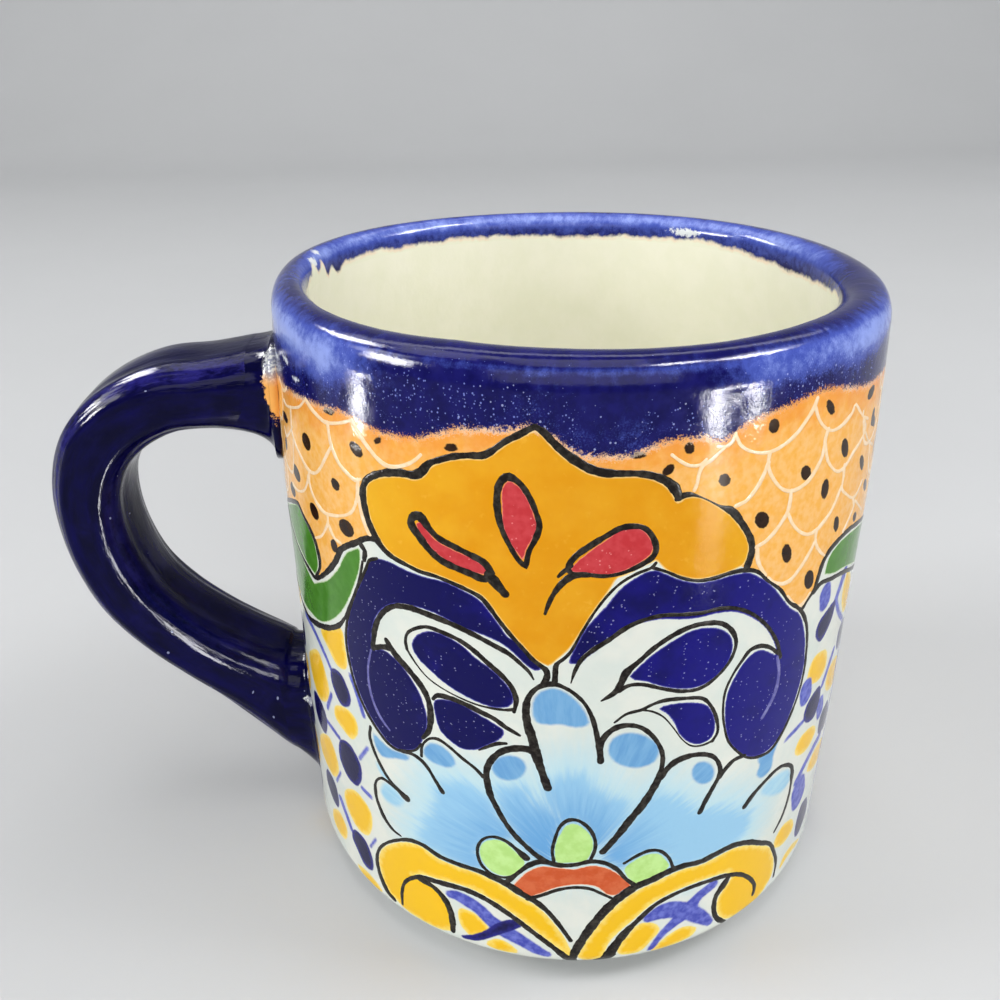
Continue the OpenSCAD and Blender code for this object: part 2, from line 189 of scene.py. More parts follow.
    'yel_l_t': "-32.10,13.91:1.05 -33.37,14.47:1.27 -34.79,16.81:1.18 -35.38,19.61:0.94 -34.86,22.29:0.63 -33.24,24.99:0.52 -30.26,27.93:0.58 -27.39,29.73:0.79 -25.10,30.06:0.97 -22.50,29.30:0.96 -19.35,29.06:0.89 -16.12,28.94:1.01 -13.85,28.28:1.17 -11.83,27.42:1.30 -10.02,26.11:1.22 -8.23,25.00:1.09 -6.52,23.28:0.89 -5.07,21.11:0.77 -3.89,18.95:0.72 -2.91,17.03:0.64",
    'yel_l_in': "-30.26,14.16:0.55 -30.12,16.89:0.67 -29.33,19.58:0.60 -27.51,21.80:0.79 -25.87,22.86:1.02 -22.84,23.60:1.11 -18.40,24.14:1.09 -15.36,23.44:1.09 -11.86,21.29:1.01 -8.40,18.28:0.95 -5.50,15.48:0.95 -3.51,13.22:1.26 -2.50,11.80:1.68",
    'yel_l_bulb': "-26.40,22.43:1.32 -23.90,22.07:1.12 -22.06,20.54:1.20 -21.10,18.25:1.21 -20.85,16.07:1.07 -20.88,14.05:0.93",
    'yel_r_t': "-2.75,11.80:1.38 -2.28,14.33:1.38 -1.12,17.42:1.46 0.54,20.92:1.53 2.21,23.66:1.56 4.09,25.88:1.66 6.22,27.47:1.49 8.42,28.23:1.32 10.66,29.11:1.34 13.01,29.50:1.14 15.99,29.18:1.13 18.56,29.51:1.21 21.31,29.60:1.13 24.45,28.53:1.01 27.83,26.21:0.94 30.47,24.12:0.75 32.15,21.21:0.79 33.50,17.76:0.76 33.50,14.70:0.59",
    'yel_r_in': "1.50,11.80:1.87 2.43,12.78:1.92 3.48,15.19:1.64 5.13,18.14:1.34 6.51,19.85:1.02 9.25,22.77:0.90 12.03,23.97:0.85 14.95,24.40:0.85 18.10,24.23:0.92 21.26,23.55:0.91 24.22,21.93:0.82 27.00,18.87:0.75 28.09,16.59:0.85 27.99,15.04:0.76",
    'yel_r_bulb': "21.73,23.16:1.15 20.66,21.52:1.51 19.67,20.12:1.09 19.52,17.55:0.92 20.22,15.12:0.90 22.21,12.73:0.85",
    'leaf_l_top': "-74.10,67.40:0.60 -70.00,68.20:0.60 -64.00,70.20:0.66 -59.20,72.70:0.70 -53.19,75.32:0.75 -49.84,76.31:0.90 -47.90,75.50:1.00 -45.72,74.61:1.05 -44.27,73.59:1.26 -43.42,72.11:1.22 -43.07,70.62:1.05 -43.49,69.15:0.69 -45.28,66.95:0.68",
    'leaf_l_mid': "-63.00,70.40:0.60 -59.50,70.20:0.70 -56.00,69.00:0.80 -51.73,67.67:0.95 -48.02,66.94:1.05 -45.40,66.75:0.75 -43.25,68.06:0.69 -41.41,69.59:0.87 -39.42,71.48:0.97 -37.96,73.28:1.08 -36.85,75.05:1.01 -35.21,76.38:0.89 -33.33,77.54:0.88 -31.82,78.61:0.83 -30.21,79.34:0.81 -29.28,79.33:0.78",
    'leaf_l_curl': "-32.18,77.61:0.97 -31.56,77.05:1.03 -31.84,75.72:0.71",
    'leaf_l_r': "-32.18,75.23:0.51 -32.63,73.73:0.47 -33.78,70.81:0.46 -35.91,66.94:0.47 -37.26,64.35:0.65",
    'leaf_l_b': "-51.44,56.68:0.84 -48.86,57.37:1.08 -46.09,58.39:1.04 -43.19,59.62:0.95 -40.81,60.98:0.84 -38.92,62.44:0.77 -37.21,64.54:0.51",
    'leaf_l_b2': "-74.10,60.20:0.60 -70.00,59.80:0.60 -64.00,58.60:0.70 -58.90,57.50:0.80 -55.18,56.86:0.85 -51.44,56.68:0.84",
    'leaf_r_top': "66.00,67.80:0.60 64.00,68.10:0.60 58.00,69.50:0.65 52.00,71.30:0.70 46.00,73.40:0.80 39.66,74.98:0.87 36.47,74.95:0.96 34.00,74.35:1.07 32.67,73.25:1.16 31.99,71.37:1.05 31.33,69.46:0.93 30.13,68.51:0.76 29.42,67.67:0.75",
    'leaf_r_b': "31.53,69.22:1.12 32.79,69.77:0.87 36.02,69.10:0.76 40.17,68.03:0.78 46.00,65.60:0.72 50.25,63.80:0.68 56.00,61.80:0.62 62.00,60.50:0.60 66.00,60.20:0.60",
}
HAIR = {
    'h1': "-32.10,61.65:0.38 -33.06,58.37:0.43 -33.20,55.43:0.50 -32.72,53.11:0.56 -31.81,51.26:0.58 -30.81,50.12:0.52 -29.73,49.28:0.40",
    'h2': "25.38,61.51:0.53 26.19,58.59:0.61 26.05,55.61:0.73 25.07,53.56:0.72 24.04,52.07:0.56",
}
CREAM = {
    's1': "-32.41,94.15:0.59 -30.90,92.42:0.56 -29.33,91.15:0.52 -28.20,90.37:0.52 -27.07,89.98:0.48 -25.96,90.02:0.42 -24.16,90.67:0.37 -22.76,91.56:0.34 -21.92,92.40:0.29",
    's2': "-43.45,93.72:0.62 -42.05,93.10:0.60 -40.12,92.59:0.54 -38.31,92.34:0.42 -36.04,92.85:0.36 -33.97,93.58:0.34 -32.40,94.30:0.34",
    's3': "-53.74,90.29:0.67 -52.28,90.11:0.35 -48.37,91.08:0.27 -45.75,92.10:0.27 -43.87,93.51:0.32",
    's4': "-37.74,92.35:0.65 -37.59,91.13:0.66 -37.18,89.67:0.67 -36.48,88.61:0.64 -35.51,87.62:0.57 -34.09,86.95:0.49 -32.48,86.48:0.42 -31.48,86.95:0.34",
    's5': "-37.14,89.56:0.41 -38.21,88.21:0.42 -39.27,86.86:0.44 -40.39,85.48:0.40 -41.95,84.22:0.34 -43.48,83.82:0.49 -45.07,84.08:0.71 -46.69,84.86:0.83 -48.51,85.74:0.97 -49.88,86.97:1.19 -50.14,88.27:1.09 -49.87,90.52:1.01",
    's6': "-44.01,83.59:0.80 -44.20,81.97:0.93 -43.29,80.58:0.91 -41.97,79.69:0.73 -40.01,79.25:0.49 -37.79,79.78:0.36 -35.22,80.75:0.33 -33.61,81.84:0.34 -32.78,83.13:0.41 -32.32,84.43:0.49 -31.98,86.68:0.50",
    's7': "-44.33,82.89:0.52 -44.86,81.88:0.47 -46.33,80.04:0.33 -48.56,78.91:0.29 -50.43,78.49:0.45 -51.98,78.53:0.55",
    's8': "-54.90,85.83:1.24 -53.94,85.09:0.35 -51.61,86.33:0.30 -49.64,87.92:0.34",
    's9': "-39.39,79.15:0.56 -39.37,78.27:0.44 -40.42,76.58:0.36 -41.68,75.13:0.28 -43.92,73.82:0.24",
    's10': "-39.42,77.90:0.61 -38.75,77.10:0.59 -37.97,76.36:0.49 -36.56,76.22:0.40",
    's11': "-31.92,84.29:0.66 -31.87,82.95:0.69 -31.48,81.57:0.71 -30.86,80.26:0.71 -30.14,79.39:0.62",
    'r1': "12.56,93.94:0.35 13.58,93.78:0.38 14.38,94.22:0.43 14.72,95.08:0.43",
    'r2': "14.72,95.08:0.35 15.48,93.66:0.32 16.65,92.79:0.31 18.26,92.19:0.33 19.67,92.00:0.36 21.09,92.18:0.41 22.76,92.78:0.44 23.97,93.48:0.49 25.17,94.57:0.52 26.37,95.83:0.55 26.86,96.84:0.56",
    'r3': "26.62,96.05:0.40 27.47,94.41:0.38 28.60,93.13:0.32 30.42,92.03:0.31 32.18,91.93:0.44 34.00,92.43:0.56 35.31,93.06:0.70 35.76,93.85:0.32 37.25,92.68:0.34 38.97,91.31:0.28 41.20,90.27:0.23",
    'r4': "19.80,91.87:0.47 19.67,90.92:0.45 19.93,89.69:0.40 20.82,88.28:0.36 22.24,86.80:0.35 23.64,86.13:0.38 25.01,86.06:0.47 26.67,86.53:0.58 27.98,87.61:0.61 28.88,88.79:0.65 29.28,90.11:0.63 29.36,91.51:0.61 29.70,92.30:0.61",
    'r5': "29.42,90.60:0.45 30.27,88.37:0.43 31.19,87.25:0.34 32.74,86.01:0.31 33.97,85.70:0.45 35.36,86.08:0.67 36.93,87.06:0.69 39.02,87.86:0.68 40.42,88.88:0.85 39.38,90.93:0.55",
    'r6': "40.83,88.52:0.35 42.63,86.76:0.28 46.37,84.71:0.24",
    'r7': "34.71,86.09:0.55 34.96,84.26:0.59 34.87,82.96:0.42 36.67,81.38:0.28 38.92,80.02:0.27 40.47,79.84:0.66 42.40,80.91:0.81",
    'r8': "19.70,90.65:0.50 18.85,88.72:0.49 17.84,87.34:0.49 16.81,86.46:0.46 15.54,86.15:0.43",
    'r9': "23.84,86.10:0.49 23.85,84.62:0.51 23.61,83.41:0.55 22.83,82.36:0.54 21.70,81.19:0.52 20.30,80.28:0.48 19.04,79.97:0.45",
    'r10': "23.67,83.25:0.38 24.88,81.31:0.36 26.60,79.68:0.34 28.27,78.88:0.40 29.90,78.98:0.58 31.51,79.73:0.65 32.82,80.59:0.72 33.86,81.99:0.75 34.65,83.18:0.71",
    'r11': "29.74,78.95:0.55 29.94,77.14:0.45 31.44,75.17:0.35 33.15,73.76:0.33",
    'r12': "29.85,77.35:0.66 29.09,76.31:0.65 28.04,75.10:0.62 26.98,74.10:0.61 25.63,73.19:0.57 24.18,73.23:0.43 22.71,73.94:0.37 21.55,74.94:0.37",
    'r13': "39.28,79.81:0.45 40.13,78.36:0.79 38.89,76.99:0.68 37.47,75.79:0.61",
    'r14': "40.54,78.89:0.26 44.89,75.62:0.28",
    'r15': "9.94,89.09:0.39 10.25,89.93:0.39 10.38,91.02:0.40 10.81,91.91:0.41 11.87,92.44:0.38 12.71,93.15:0.36 13.39,93.64:0.33",
    'r16': "6.97,93.64:0.26 7.95,92.84:0.28 9.15,92.13:0.30 10.50,92.06:0.33 11.18,92.62:0.32",
    'r17': "19.31,79.49:0.50 19.54,78.06:0.48 20.09,76.93:0.44 21.08,75.45:0.44",
    'r18': "25.57,70.92:0.32 26.92,69.34:0.37 28.13,68.30:0.43 29.37,68.39:0.66 30.37,69.27:0.64",
}
FILL = {
    'scale': [
        "70.00,102.00* 70.00,67.40* 64.00,68.10 58.00,69.50 52.00,71.30 46.00,73.40 39.63,75.06 36.34,75.01 34.02,74.37 32.79,73.24 32.08,71.28 31.36,69.45 30.20,68.57 29.26,67.89* 28.41,67.95 26.23,69.91 24.15,72.33 21.59,74.64 19.96,76.13 18.00,77.38 11.30,79.96 -0.78,81.26 -22.60,78.66 -27.76,78.51 -30.23,79.36* -31.95,78.48 -34.06,76.97 -36.89,75.09 -38.17,72.89 -41.75,69.36 -44.35,67.59* -43.63,69.24 -43.29,72.25 -44.29,73.65 -45.83,74.64 -47.98,75.52 -50.04,76.29 -53.20,75.30 -59.20,72.70 -64.00,70.20 -70.00,68.20 -78.00,67.20* -78.00,102.00*",
    ],
    'mantle': [
        "-8.32,97.15*:0.68 -9.09,96.83:0.78 -10.00,96.30:0.78 -11.61,95.41:0.77 -13.35,94.00:0.83 -14.24,93.50:0.92 -15.69,93.33:0.82 -17.72,92.93:0.81 -19.47,92.24:0.80 -20.87,91.53:0.90 -21.94,90.29:1.19 -23.01,89.68:1.15 -24.76,89.57:1.06 -27.08,89.00:1.03 -29.10,88.12:0.94 -30.62,86.93:0.97 -31.12,85.76:1.20 -31.24,84.29:1.29 -30.94,82.94:1.24 -30.52,81.62:1.21 -29.94,80.54:1.21 -29.23,79.50:1.19 -28.03,78.41:0.97 -26.59,77.79:0.76 -24.74,77.42:0.64 -22.74,77.03:0.58 -20.61,76.96:0.57 -18.38,76.54:0.57 -16.43,76.00:0.60 -14.71,75.25:0.66 -13.60,73.94:0.65 -12.67,72.57:0.62 -11.21,70.58:0.59 -9.54,68.55:0.59 -8.41,67.12:0.62 -7.44,66.46:0.59 -6.40,66.08*:0.43 -5.15,67.49:0.40 -3.98,68.86:0.39 -2.65,71.34:0.38 -0.99,74.60:0.38 0.40,76.97:0.25 1.27,78.67*:0.26 2.77,79.23:0.27 4.50,80.06:0.27 5.79,80.65*:0.25 7.10,79.08:0.42 9.24,77.88:0.44 11.20,77.19:0.47 13.41,77.08:0.58 15.90,77.31:0.68 17.83,77.56*:1.04 18.43,79.09:1.14 18.38,80.54:0.97 17.65,82.15:0.87 16.36,84.05:0.95 15.58,85.06:0.98 14.73,85.83:0.97 13.64,86.39:0.46 12.82,86.89:0.23 11.81,87.54:0.20 10.78,88.11:0.23 10.18,88.39:0.41 9.42,88.62:0.73 8.58,88.54:0.78 8.14,88.29*:1.00 7.51,89.64:1.22 6.37,90.68:1.11 4.92,91.36:0.92 3.15,91.77:0.82 1.07,91.89:0.88 -0.63,92.05:1.05 -2.17,92.53:1.15 -3.75,93.47:1.08 -5.23,94.57:1.02 -6.43,95.69:0.90 -7.43,96.71:0.79",
    ],
    'red': [
        "-11.27,90.77 -10.22,90.30 -9.19,88.88 -8.40,86.85 -8.00,85.44 -8.63,83.56 -9.23,82.33 -9.52,80.69* -10.25,81.84 -11.31,83.51 -11.93,85.39 -12.00,87.57 -12.00,89.74",
        "-22.89,83.56 -22.20,83.93 -21.58,83.13 -20.40,82.01 -18.42,81.22 -16.31,80.62 -14.43,79.72 -13.68,78.79 -13.62,78.26* -15.02,78.55 -16.92,78.71 -18.88,79.44 -20.67,80.47 -21.89,81.83 -22.69,82.66",
        "1.76,85.08 3.80,84.93 4.77,83.95 5.40,82.30 5.05,81.53 3.30,80.29 1.18,79.44 -0.59,79.31 -3.06,79.66 -4.34,79.67* -3.44,81.02 -1.74,82.59 -0.04,83.91",
    ],
    'navy': [
        "-29.42,76.53 -30.73,75.70 -31.20,74.73 -32.39,72.41 -34.41,68.78 -36.46,64.05 -37.20,60.24 -36.76,56.51 -35.95,53.85 -34.38,51.07 -32.79,49.28 -31.23,47.95 -29.76,47.03 -28.35,46.87 -26.89,47.35 -25.21,48.39 -24.48,49.52 -23.92,50.88 -23.33,52.69 -23.22,54.62 -23.56,56.36 -24.31,58.38 -25.54,60.18 -27.05,61.60 -28.89,62.54 -30.16,62.48 -31.30,61.78 -32.06,62.00* -31.82,64.68 -30.70,67.61 -28.96,69.85 -26.91,71.24 -24.89,71.77 -22.37,71.94 -20.02,71.59 -17.60,70.79 -15.25,70.28 -13.15,69.65 -11.41,68.69 -9.36,66.64 -7.99,65.71 -7.52,66.00* -7.70,66.49 -9.02,67.44 -10.54,69.54 -11.40,69.87 -13.06,72.22 -14.04,73.60 -15.26,74.87 -17.14,75.67 -19.48,76.28 -21.97,76.28 -24.89,76.47 -27.39,76.80",
        "-24.46,65.50 -23.71,67.15 -21.76,68.48 -19.79,68.46 -17.53,67.62 -15.74,66.14 -13.60,64.66 -12.01,63.00 -11.06,61.17 -11.34,59.86 -12.81,59.23 -15.19,59.46 -17.82,60.33 -20.14,61.42 -22.10,62.77 -23.71,63.98",
        "-21.53,57.67 -19.89,58.31 -17.90,58.23 -15.63,57.27 -13.78,56.36 -12.33,55.32 -12.89,54.07 -14.41,52.83 -16.16,51.56 -17.74,51.19 -19.35,51.82 -20.92,53.15 -21.46,55.06",
        "-3.95,67.01* -3.17,69.28 -1.75,72.23 0.24,74.87 1.91,77.20 3.79,78.61 5.49,79.24 7.12,78.52 9.03,77.46 11.24,76.68 13.48,76.56 15.76,76.73 18.16,76.46 20.24,75.21 22.66,72.99 24.39,70.91 26.38,68.61 28.48,66.83 29.98,64.33 31.24,60.54 31.79,56.67 31.30,53.28 30.31,50.37 28.61,47.24 26.41,45.54 24.22,45.57 22.05,46.49 20.21,48.29 18.63,50.59 17.83,53.02 17.36,56.18 17.45,58.80 18.42,61.32 19.95,63.35 21.45,63.93 22.96,63.26 24.77,61.85* 25.64,61.56* 24.53,64.18 22.24,67.64 19.67,70.03 17.01,71.60 14.57,72.13 12.07,72.07 9.65,72.27 6.68,72.74 4.24,72.45 2.28,71.44 0.35,69.93 -1.59,68.28 -2.95,67.02",
        "3.63,64.58* 4.61,65.72 6.39,67.44 8.83,69.00 11.14,69.98 13.40,69.87 15.36,69.02 16.73,67.39 16.98,65.29 16.20,63.48 14.64,62.15 12.59,61.43 10.27,61.74 8.01,62.49 5.78,63.64 4.06,64.21",
        "7.58,59.08* 9.81,59.13 12.13,58.69 14.10,57.73 15.22,55.82 15.69,53.75 15.33,52.28 13.93,51.80 12.45,52.38 10.92,54.07 9.82,56.52 8.76,58.06",
    ],
    'green': [
        "-62.50,70.90* -59.20,72.10 -53.50,74.70 -50.15,75.93 -46.90,74.79 -44.98,73.64 -44.02,71.90 -43.92,69.41 -45.33,67.31* -47.83,67.56 -51.36,68.32 -55.50,69.60 -59.50,70.90",
        "-46.36,65.39* -43.47,67.09 -41.02,68.67 -39.06,70.56 -37.54,72.25 -36.40,74.03 -35.29,75.42 -34.03,76.31 -32.55,77.17* -32.54,75.96 -32.91,74.00 -34.44,70.62 -36.39,67.24 -38.47,64.51 -41.82,61.48 -45.80,59.25 -49.30,58.54 -53.00,58.00 -58.90,58.30 -64.00,59.50 -70.00,60.60 -77.00,61.00* -77.00,66.60* -70.00,67.60 -64.00,69.40 -60.00,69.70 -56.00,68.40 -51.21,67.16 -48.60,66.20",
        "69.00,67.00* 64.00,67.50 58.00,68.90 52.00,70.70 46.00,72.80 39.53,74.28 36.00,74.20 34.08,73.18 33.48,70.88* 36.28,69.77 40.50,68.72 46.00,66.50 50.00,64.70 56.00,62.60 62.00,61.30 69.00,61.00*",
    ],
    'lime': [
        "-15.90,33.53 -15.25,35.01 -13.89,35.94 -12.35,35.84 -10.83,34.36 -9.50,32.62 -10.38,30.65 -11.62,29.43 -13.42,29.22 -14.99,30.27 -15.75,31.70",
        "-4.52,38.93 -3.93,40.17 -2.74,40.48 -1.52,39.53 -0.58,38.13 -0.23,36.43 -0.57,34.69 -1.13,33.57 -3.41,33.16 -5.09,33.15 -5.40,34.93 -5.14,37.31",
        "4.33,31.47 5.50,32.67 7.40,33.56 8.96,33.29 10.17,31.79 10.90,30.16 9.51,29.07 7.98,28.13 6.65,27.86 5.28,28.93",
    ],
    'brick': [
        "-11.29,27.47* -10.34,29.08 -9.22,30.70 -7.30,32.12 -4.86,32.09 -2.69,31.93 -0.26,32.57 1.94,31.82 3.68,30.26 5.70,27.56* 4.43,26.43 2.45,26.29 0.14,28.39 -2.62,28.69 -5.08,28.01 -7.28,26.60 -9.24,25.61 -10.82,26.39",
    ],
    'yellow': [
        "-32.06,14.40 -33.22,14.86 -34.37,17.27 -34.88,20.00 -34.37,22.47 -33.03,24.69 -30.29,27.43 -27.47,29.21 -25.25,29.56 -22.67,28.74 -19.50,28.55 -16.24,28.40 -14.01,27.69 -12.12,26.76 -10.29,25.43 -8.47,24.42 -6.87,22.86 -5.47,20.78 -4.29,18.61 -3.27,16.29 -2.40,13.10* -3.37,13.75 -5.33,15.93 -8.23,18.78 -11.66,21.85 -15.17,24.01 -18.25,24.78 -22.69,24.27 -25.82,23.51 -27.33,22.40 -25.46,22.79 -23.36,22.44 -21.57,20.90 -20.67,18.56 -20.43,16.28 -20.52,14.24* -23.22,13.08 -26.94,12.95 -29.63,13.32",
        "-1.90,13.41* -0.63,16.84 1.05,20.28 2.69,22.95 4.50,25.08 6.55,26.69 8.68,27.53 10.93,28.39 13.23,28.83 16.27,28.51 18.87,28.83 21.62,28.90 24.63,27.84 27.91,25.57 30.25,23.73 31.54,21.50 32.73,18.39 32.65,15.54 31.12,13.94 28.40,12.32 24.50,12.51 21.92,13.75 20.68,15.29 20.04,17.30 20.15,19.61 21.13,20.92 22.20,22.56 21.09,24.13 17.86,24.88 14.72,24.99 11.78,24.52 8.96,23.30 6.14,20.56 4.50,18.82 2.78,16.39 1.60,12.96 -0.25,11.80",
        "-19.52,19.78 -17.05,19.67 -15.02,17.53 -15.29,16.16 -17.76,14.52 -19.30,15.75 -19.83,17.98",
        "-15.50,13.87 -13.73,15.49 -11.98,15.03 -10.52,13.34 -12.02,12.67 -14.31,12.94",
        "7.13,19.42 9.23,19.02 10.36,17.27 9.13,15.19 7.16,13.10 4.48,13.35 4.03,14.66 5.49,17.35",
        "9.26,12.82 11.74,15.39 14.24,16.23 16.63,14.86 16.11,13.57 13.00,12.47 10.43,12.04",
    ],
    'lat_y': [
        "-45.79,57.60 -38.65,61.75 -38.20,59.21 -38.09,56.06 -38.87,54.81 -41.27,54.31 -43.49,55.75",
        "-52.14,50.12 -47.78,52.56 -45.61,50.13 -44.79,47.22 -46.61,44.11 -50.27,42.49 -53.04,44.11 -54.42,47.64",
        "-43.17,45.61 -38.92,47.60 -36.99,46.77 -36.95,44.44 -38.81,42.28 -41.26,42.59 -43.53,43.50",
        "-52.73,32.73 -46.75,36.88 -44.66,34.85 -44.42,31.81 -46.98,28.73 -50.42,28.64 -53.19,29.72",
        "-42.12,29.98 -38.96,31.85 -35.79,30.44 -35.61,27.30 -37.27,23.90 -40.12,23.31 -42.90,25.58 -43.37,27.94",
        "-49.89,19.09 -46.15,21.54 -44.04,19.92 -45.01,16.59 -48.22,15.69 -50.42,16.67",
        "-41.50,14.10 -37.72,15.00 -34.61,13.53 -36.50,12.51 -39.75,12.75",
        "38.19,56.20 39.80,54.55 39.95,51.82 37.54,51.06 34.32,52.61 33.56,54.47 34.76,56.73",
        "45.91,50.22 50.75,45.79 50.25,43.19 45.02,44.51 41.73,47.18 41.91,50.17",
        "39.35,41.62 40.29,39.85 38.33,38.35 34.74,39.04 33.29,40.57 34.04,42.48 36.45,42.82",
        "47.71,33.07 49.50,28.56 42.44,30.41 39.40,32.86 41.67,34.95",
        "36.76,24.61 37.98,21.45 34.97,20.68 32.30,21.92 31.69,23.65 33.32,25.57",
        "43.36,14.48 37.86,15.31 35.24,14.81 35.82,16.79 38.76,17.17",
        "42.92,66.81 47.34,63.20 50.50,57.83 46.41,57.84 43.07,61.21 42.00,65.00",
    ],
    'lat_n': [
        "-43.11,52.55 -40.22,53.35 -38.70,51.95 -37.95,50.05 -38.84,48.22 -40.99,47.28 -42.77,48.57 -43.69,50.39",
        "-53.17,41.69 -48.97,42.26 -47.11,40.51 -48.59,36.35 -51.62,36.08 -53.62,37.79",
        "-42.24,39.91 -39.44,40.83 -37.02,38.67 -37.11,35.56 -38.72,33.19 -41.26,33.14 -43.28,35.34 -43.23,37.93",
        "-50.28,27.64 -46.99,27.40 -46.10,24.07 -47.08,21.93 -49.77,22.13 -51.86,24.43",
        "-41.27,22.08 -38.26,22.30 -36.57,19.63 -36.91,16.52 -38.96,15.97 -40.95,17.85 -42.31,19.56",
        "39.10,64.16 39.24,61.64 37.17,59.17 35.90,58.86 33.96,60.90 34.28,62.83 36.36,63.82",
        "48.32,55.76 50.50,51.69 47.09,50.85 44.80,52.71 44.77,55.77",
        "38.88,49.41 39.74,46.41 38.57,44.00 35.96,44.43 34.40,46.32 34.82,48.37 36.70,49.46",
        "45.31,42.29 48.31,36.37 43.79,36.95 41.93,38.36 41.85,41.68",
        "43.24,23.86 45.03,19.09 41.88,17.09 39.89,18.03 39.25,21.29 40.28,24.60",
    ],
    'cap': [
        "-8.51,59.97 -7.99,61.74 -7.11,62.61 -5.58,62.98 -3.84,62.00 -2.62,60.57 -1.76,59.03 -1.40,57.42 -2.92,56.91 -5.01,57.32 -6.55,57.19 -7.98,57.51",
        "-13.89,48.86 -13.07,50.65 -11.51,51.51 -10.02,51.23 -9.25,49.93 -9.99,48.11 -11.55,47.24 -13.11,47.49",
        "1.23,53.09 1.87,55.01 3.52,55.65 5.50,55.11 7.32,53.58 8.01,52.03 7.38,50.23 5.52,49.66 3.37,50.21 1.82,51.47",
        "-23.96,48.07 -22.75,50.21 -21.07,50.39 -19.67,49.49 -19.02,48.13 -19.94,47.07 -21.62,46.91 -22.93,47.11",
        "-33.15,46.81 -31.69,46.38 -29.82,45.89 -27.73,46.22 -26.31,46.21 -26.79,45.46 -28.86,44.65 -30.77,43.73 -31.88,43.61 -32.91,44.78",
        "16.56,45.71 16.14,44.44 14.91,44.32 13.59,45.35 12.98,46.96 13.35,48.24 14.55,48.40 15.86,47.39",
        "28.52,46.25 27.62,43.86 27.41,41.19 25.67,40.52 24.39,41.76 24.77,43.19 24.25,44.78 26.50,44.96",
    ],
    'cap2': [
        "32.44,37.89 30.01,38.90 27.01,38.74 25.95,37.72 27.43,36.02 31.24,34.42 33.05,35.28",
        "-31.53,38.57 -30.11,38.84 -28.66,37.97 -28.01,36.80 -29.65,35.25 -31.66,35.19 -32.60,36.16",
        "-33.11,41.58 -31.50,41.05 -30.04,39.64 -28.94,39.14 -30.87,39.16 -32.41,40.13",
    ],
    'wash': [
        "-20.87,43.76 -17.50,44.50 -15.12,43.23 -13.60,40.59 -11.89,37.32 -13.92,36.22 -15.67,35.30 -16.63,33.01 -16.28,29.94 -19.32,29.65 -22.43,30.48 -25.00,31.39 -23.97,35.81 -22.41,38.98 -21.82,41.84",
        "-12.58,44.82 -9.92,45.87 -8.78,44.28 -6.38,42.43 -4.70,41.29 -5.23,39.42 -5.76,36.24 -6.12,33.49 -8.04,34.91 -9.95,37.25 -11.67,40.03",
        "-6.16,46.33 -4.88,48.14 -2.32,48.71 -0.87,46.66 1.19,44.94 3.40,43.30 2.96,40.95 1.57,38.30 0.34,36.85 -0.61,39.30 -2.53,41.36 -4.37,41.13",
        "7.21,43.71 9.20,43.60 12.00,41.71 14.54,39.14 18.38,37.98 21.28,36.19 23.53,33.60 23.10,31.21 19.55,30.38 15.44,29.73 12.30,29.59 10.88,32.26 8.47,34.36 5.85,34.00 3.77,32.47 2.00,34.22 3.55,37.26 5.52,40.26",
    ],
}
STROKES = {
    'peri': [
        "34.79,67.56:3.00 35.25,65.90:3.09",
        "33.73,52.09:3.19 34.13,50.44:3.26",
        "40.31,45.24:2.70 41.06,43.21:2.84",
        "37.00,31.13:4.40 38.02,28.25:4.66",
        "8.51,20.27:1.83 10.78,21.01:3.35 13.75,20.06:3.05 17.08,16.97:2.54 18.92,14.87:1.55",
        "18.72,23.02:1.94 16.11,21.54:2.05 14.64,19.37:2.94 12.92,18.06:2.19 10.81,16.07:1.35 9.10,13.31:1.05",
        "-21.02,21.93:1.47 -20.02,22.21:2.10 -18.27,21.85:2.52 -16.26,20.76:2.38 -14.76,19.18:2.42 -12.52,17.54:2.86 -9.99,16.04:2.36 -7.78,14.51:1.90 -6.30,13.72:1.31",
        "-44.06,47.20:0.83 -46.30,43.16:0.89",
        "-37.09,39.70:0.63 -34.77,43.20:0.67",
        "-37.19,33.84:0.97 -35.13,33.49:0.95",
        "-36.84,21.75:0.49 -35.07,24.82:0.54",
    ],
    'deepx': [
        "-19.05,13.64:0.85 -17.07,14.44:1.34 -15.14,16.00:1.55 -13.27,17.85:2.07 -11.75,19.06:2.19 -10.71,19.65:1.72",
    ],
    'lline': [
        "-53.32,56.02:1.26 -49.05,55.74:1.28 -45.15,53.82:1.16 -43.32,52.28:0.99",
        "-37.53,54.53:0.98 -36.24,52.00:0.97 -35.06,48.89:0.98",
        "-46.96,40.09:0.97 -44.86,40.05:1.02 -42.66,39.86:0.99",
        "-43.65,32.33:0.53 -45.92,28.64:0.60",
        "-45.13,25.47:1.64 -43.70,23.58:1.48 -42.25,21.29:1.33",
        "41.34,67.64:2.03 40.13,65.47:1.82 39.15,63.85:1.68",
        "39.68,63.57:1.00 42.03,60.44:0.95 47.06,56.02:0.85",
        "43.08,52.95:1.77 39.88,48.93:1.28",
        "34.67,45.70:0.85 31.57,45.23:0.94 29.97,44.80:0.61",
        "43.91,36.72:1.72 40.88,36.42:1.78 37.98,35.12:1.71 35.52,33.23:1.51",
    ],
}
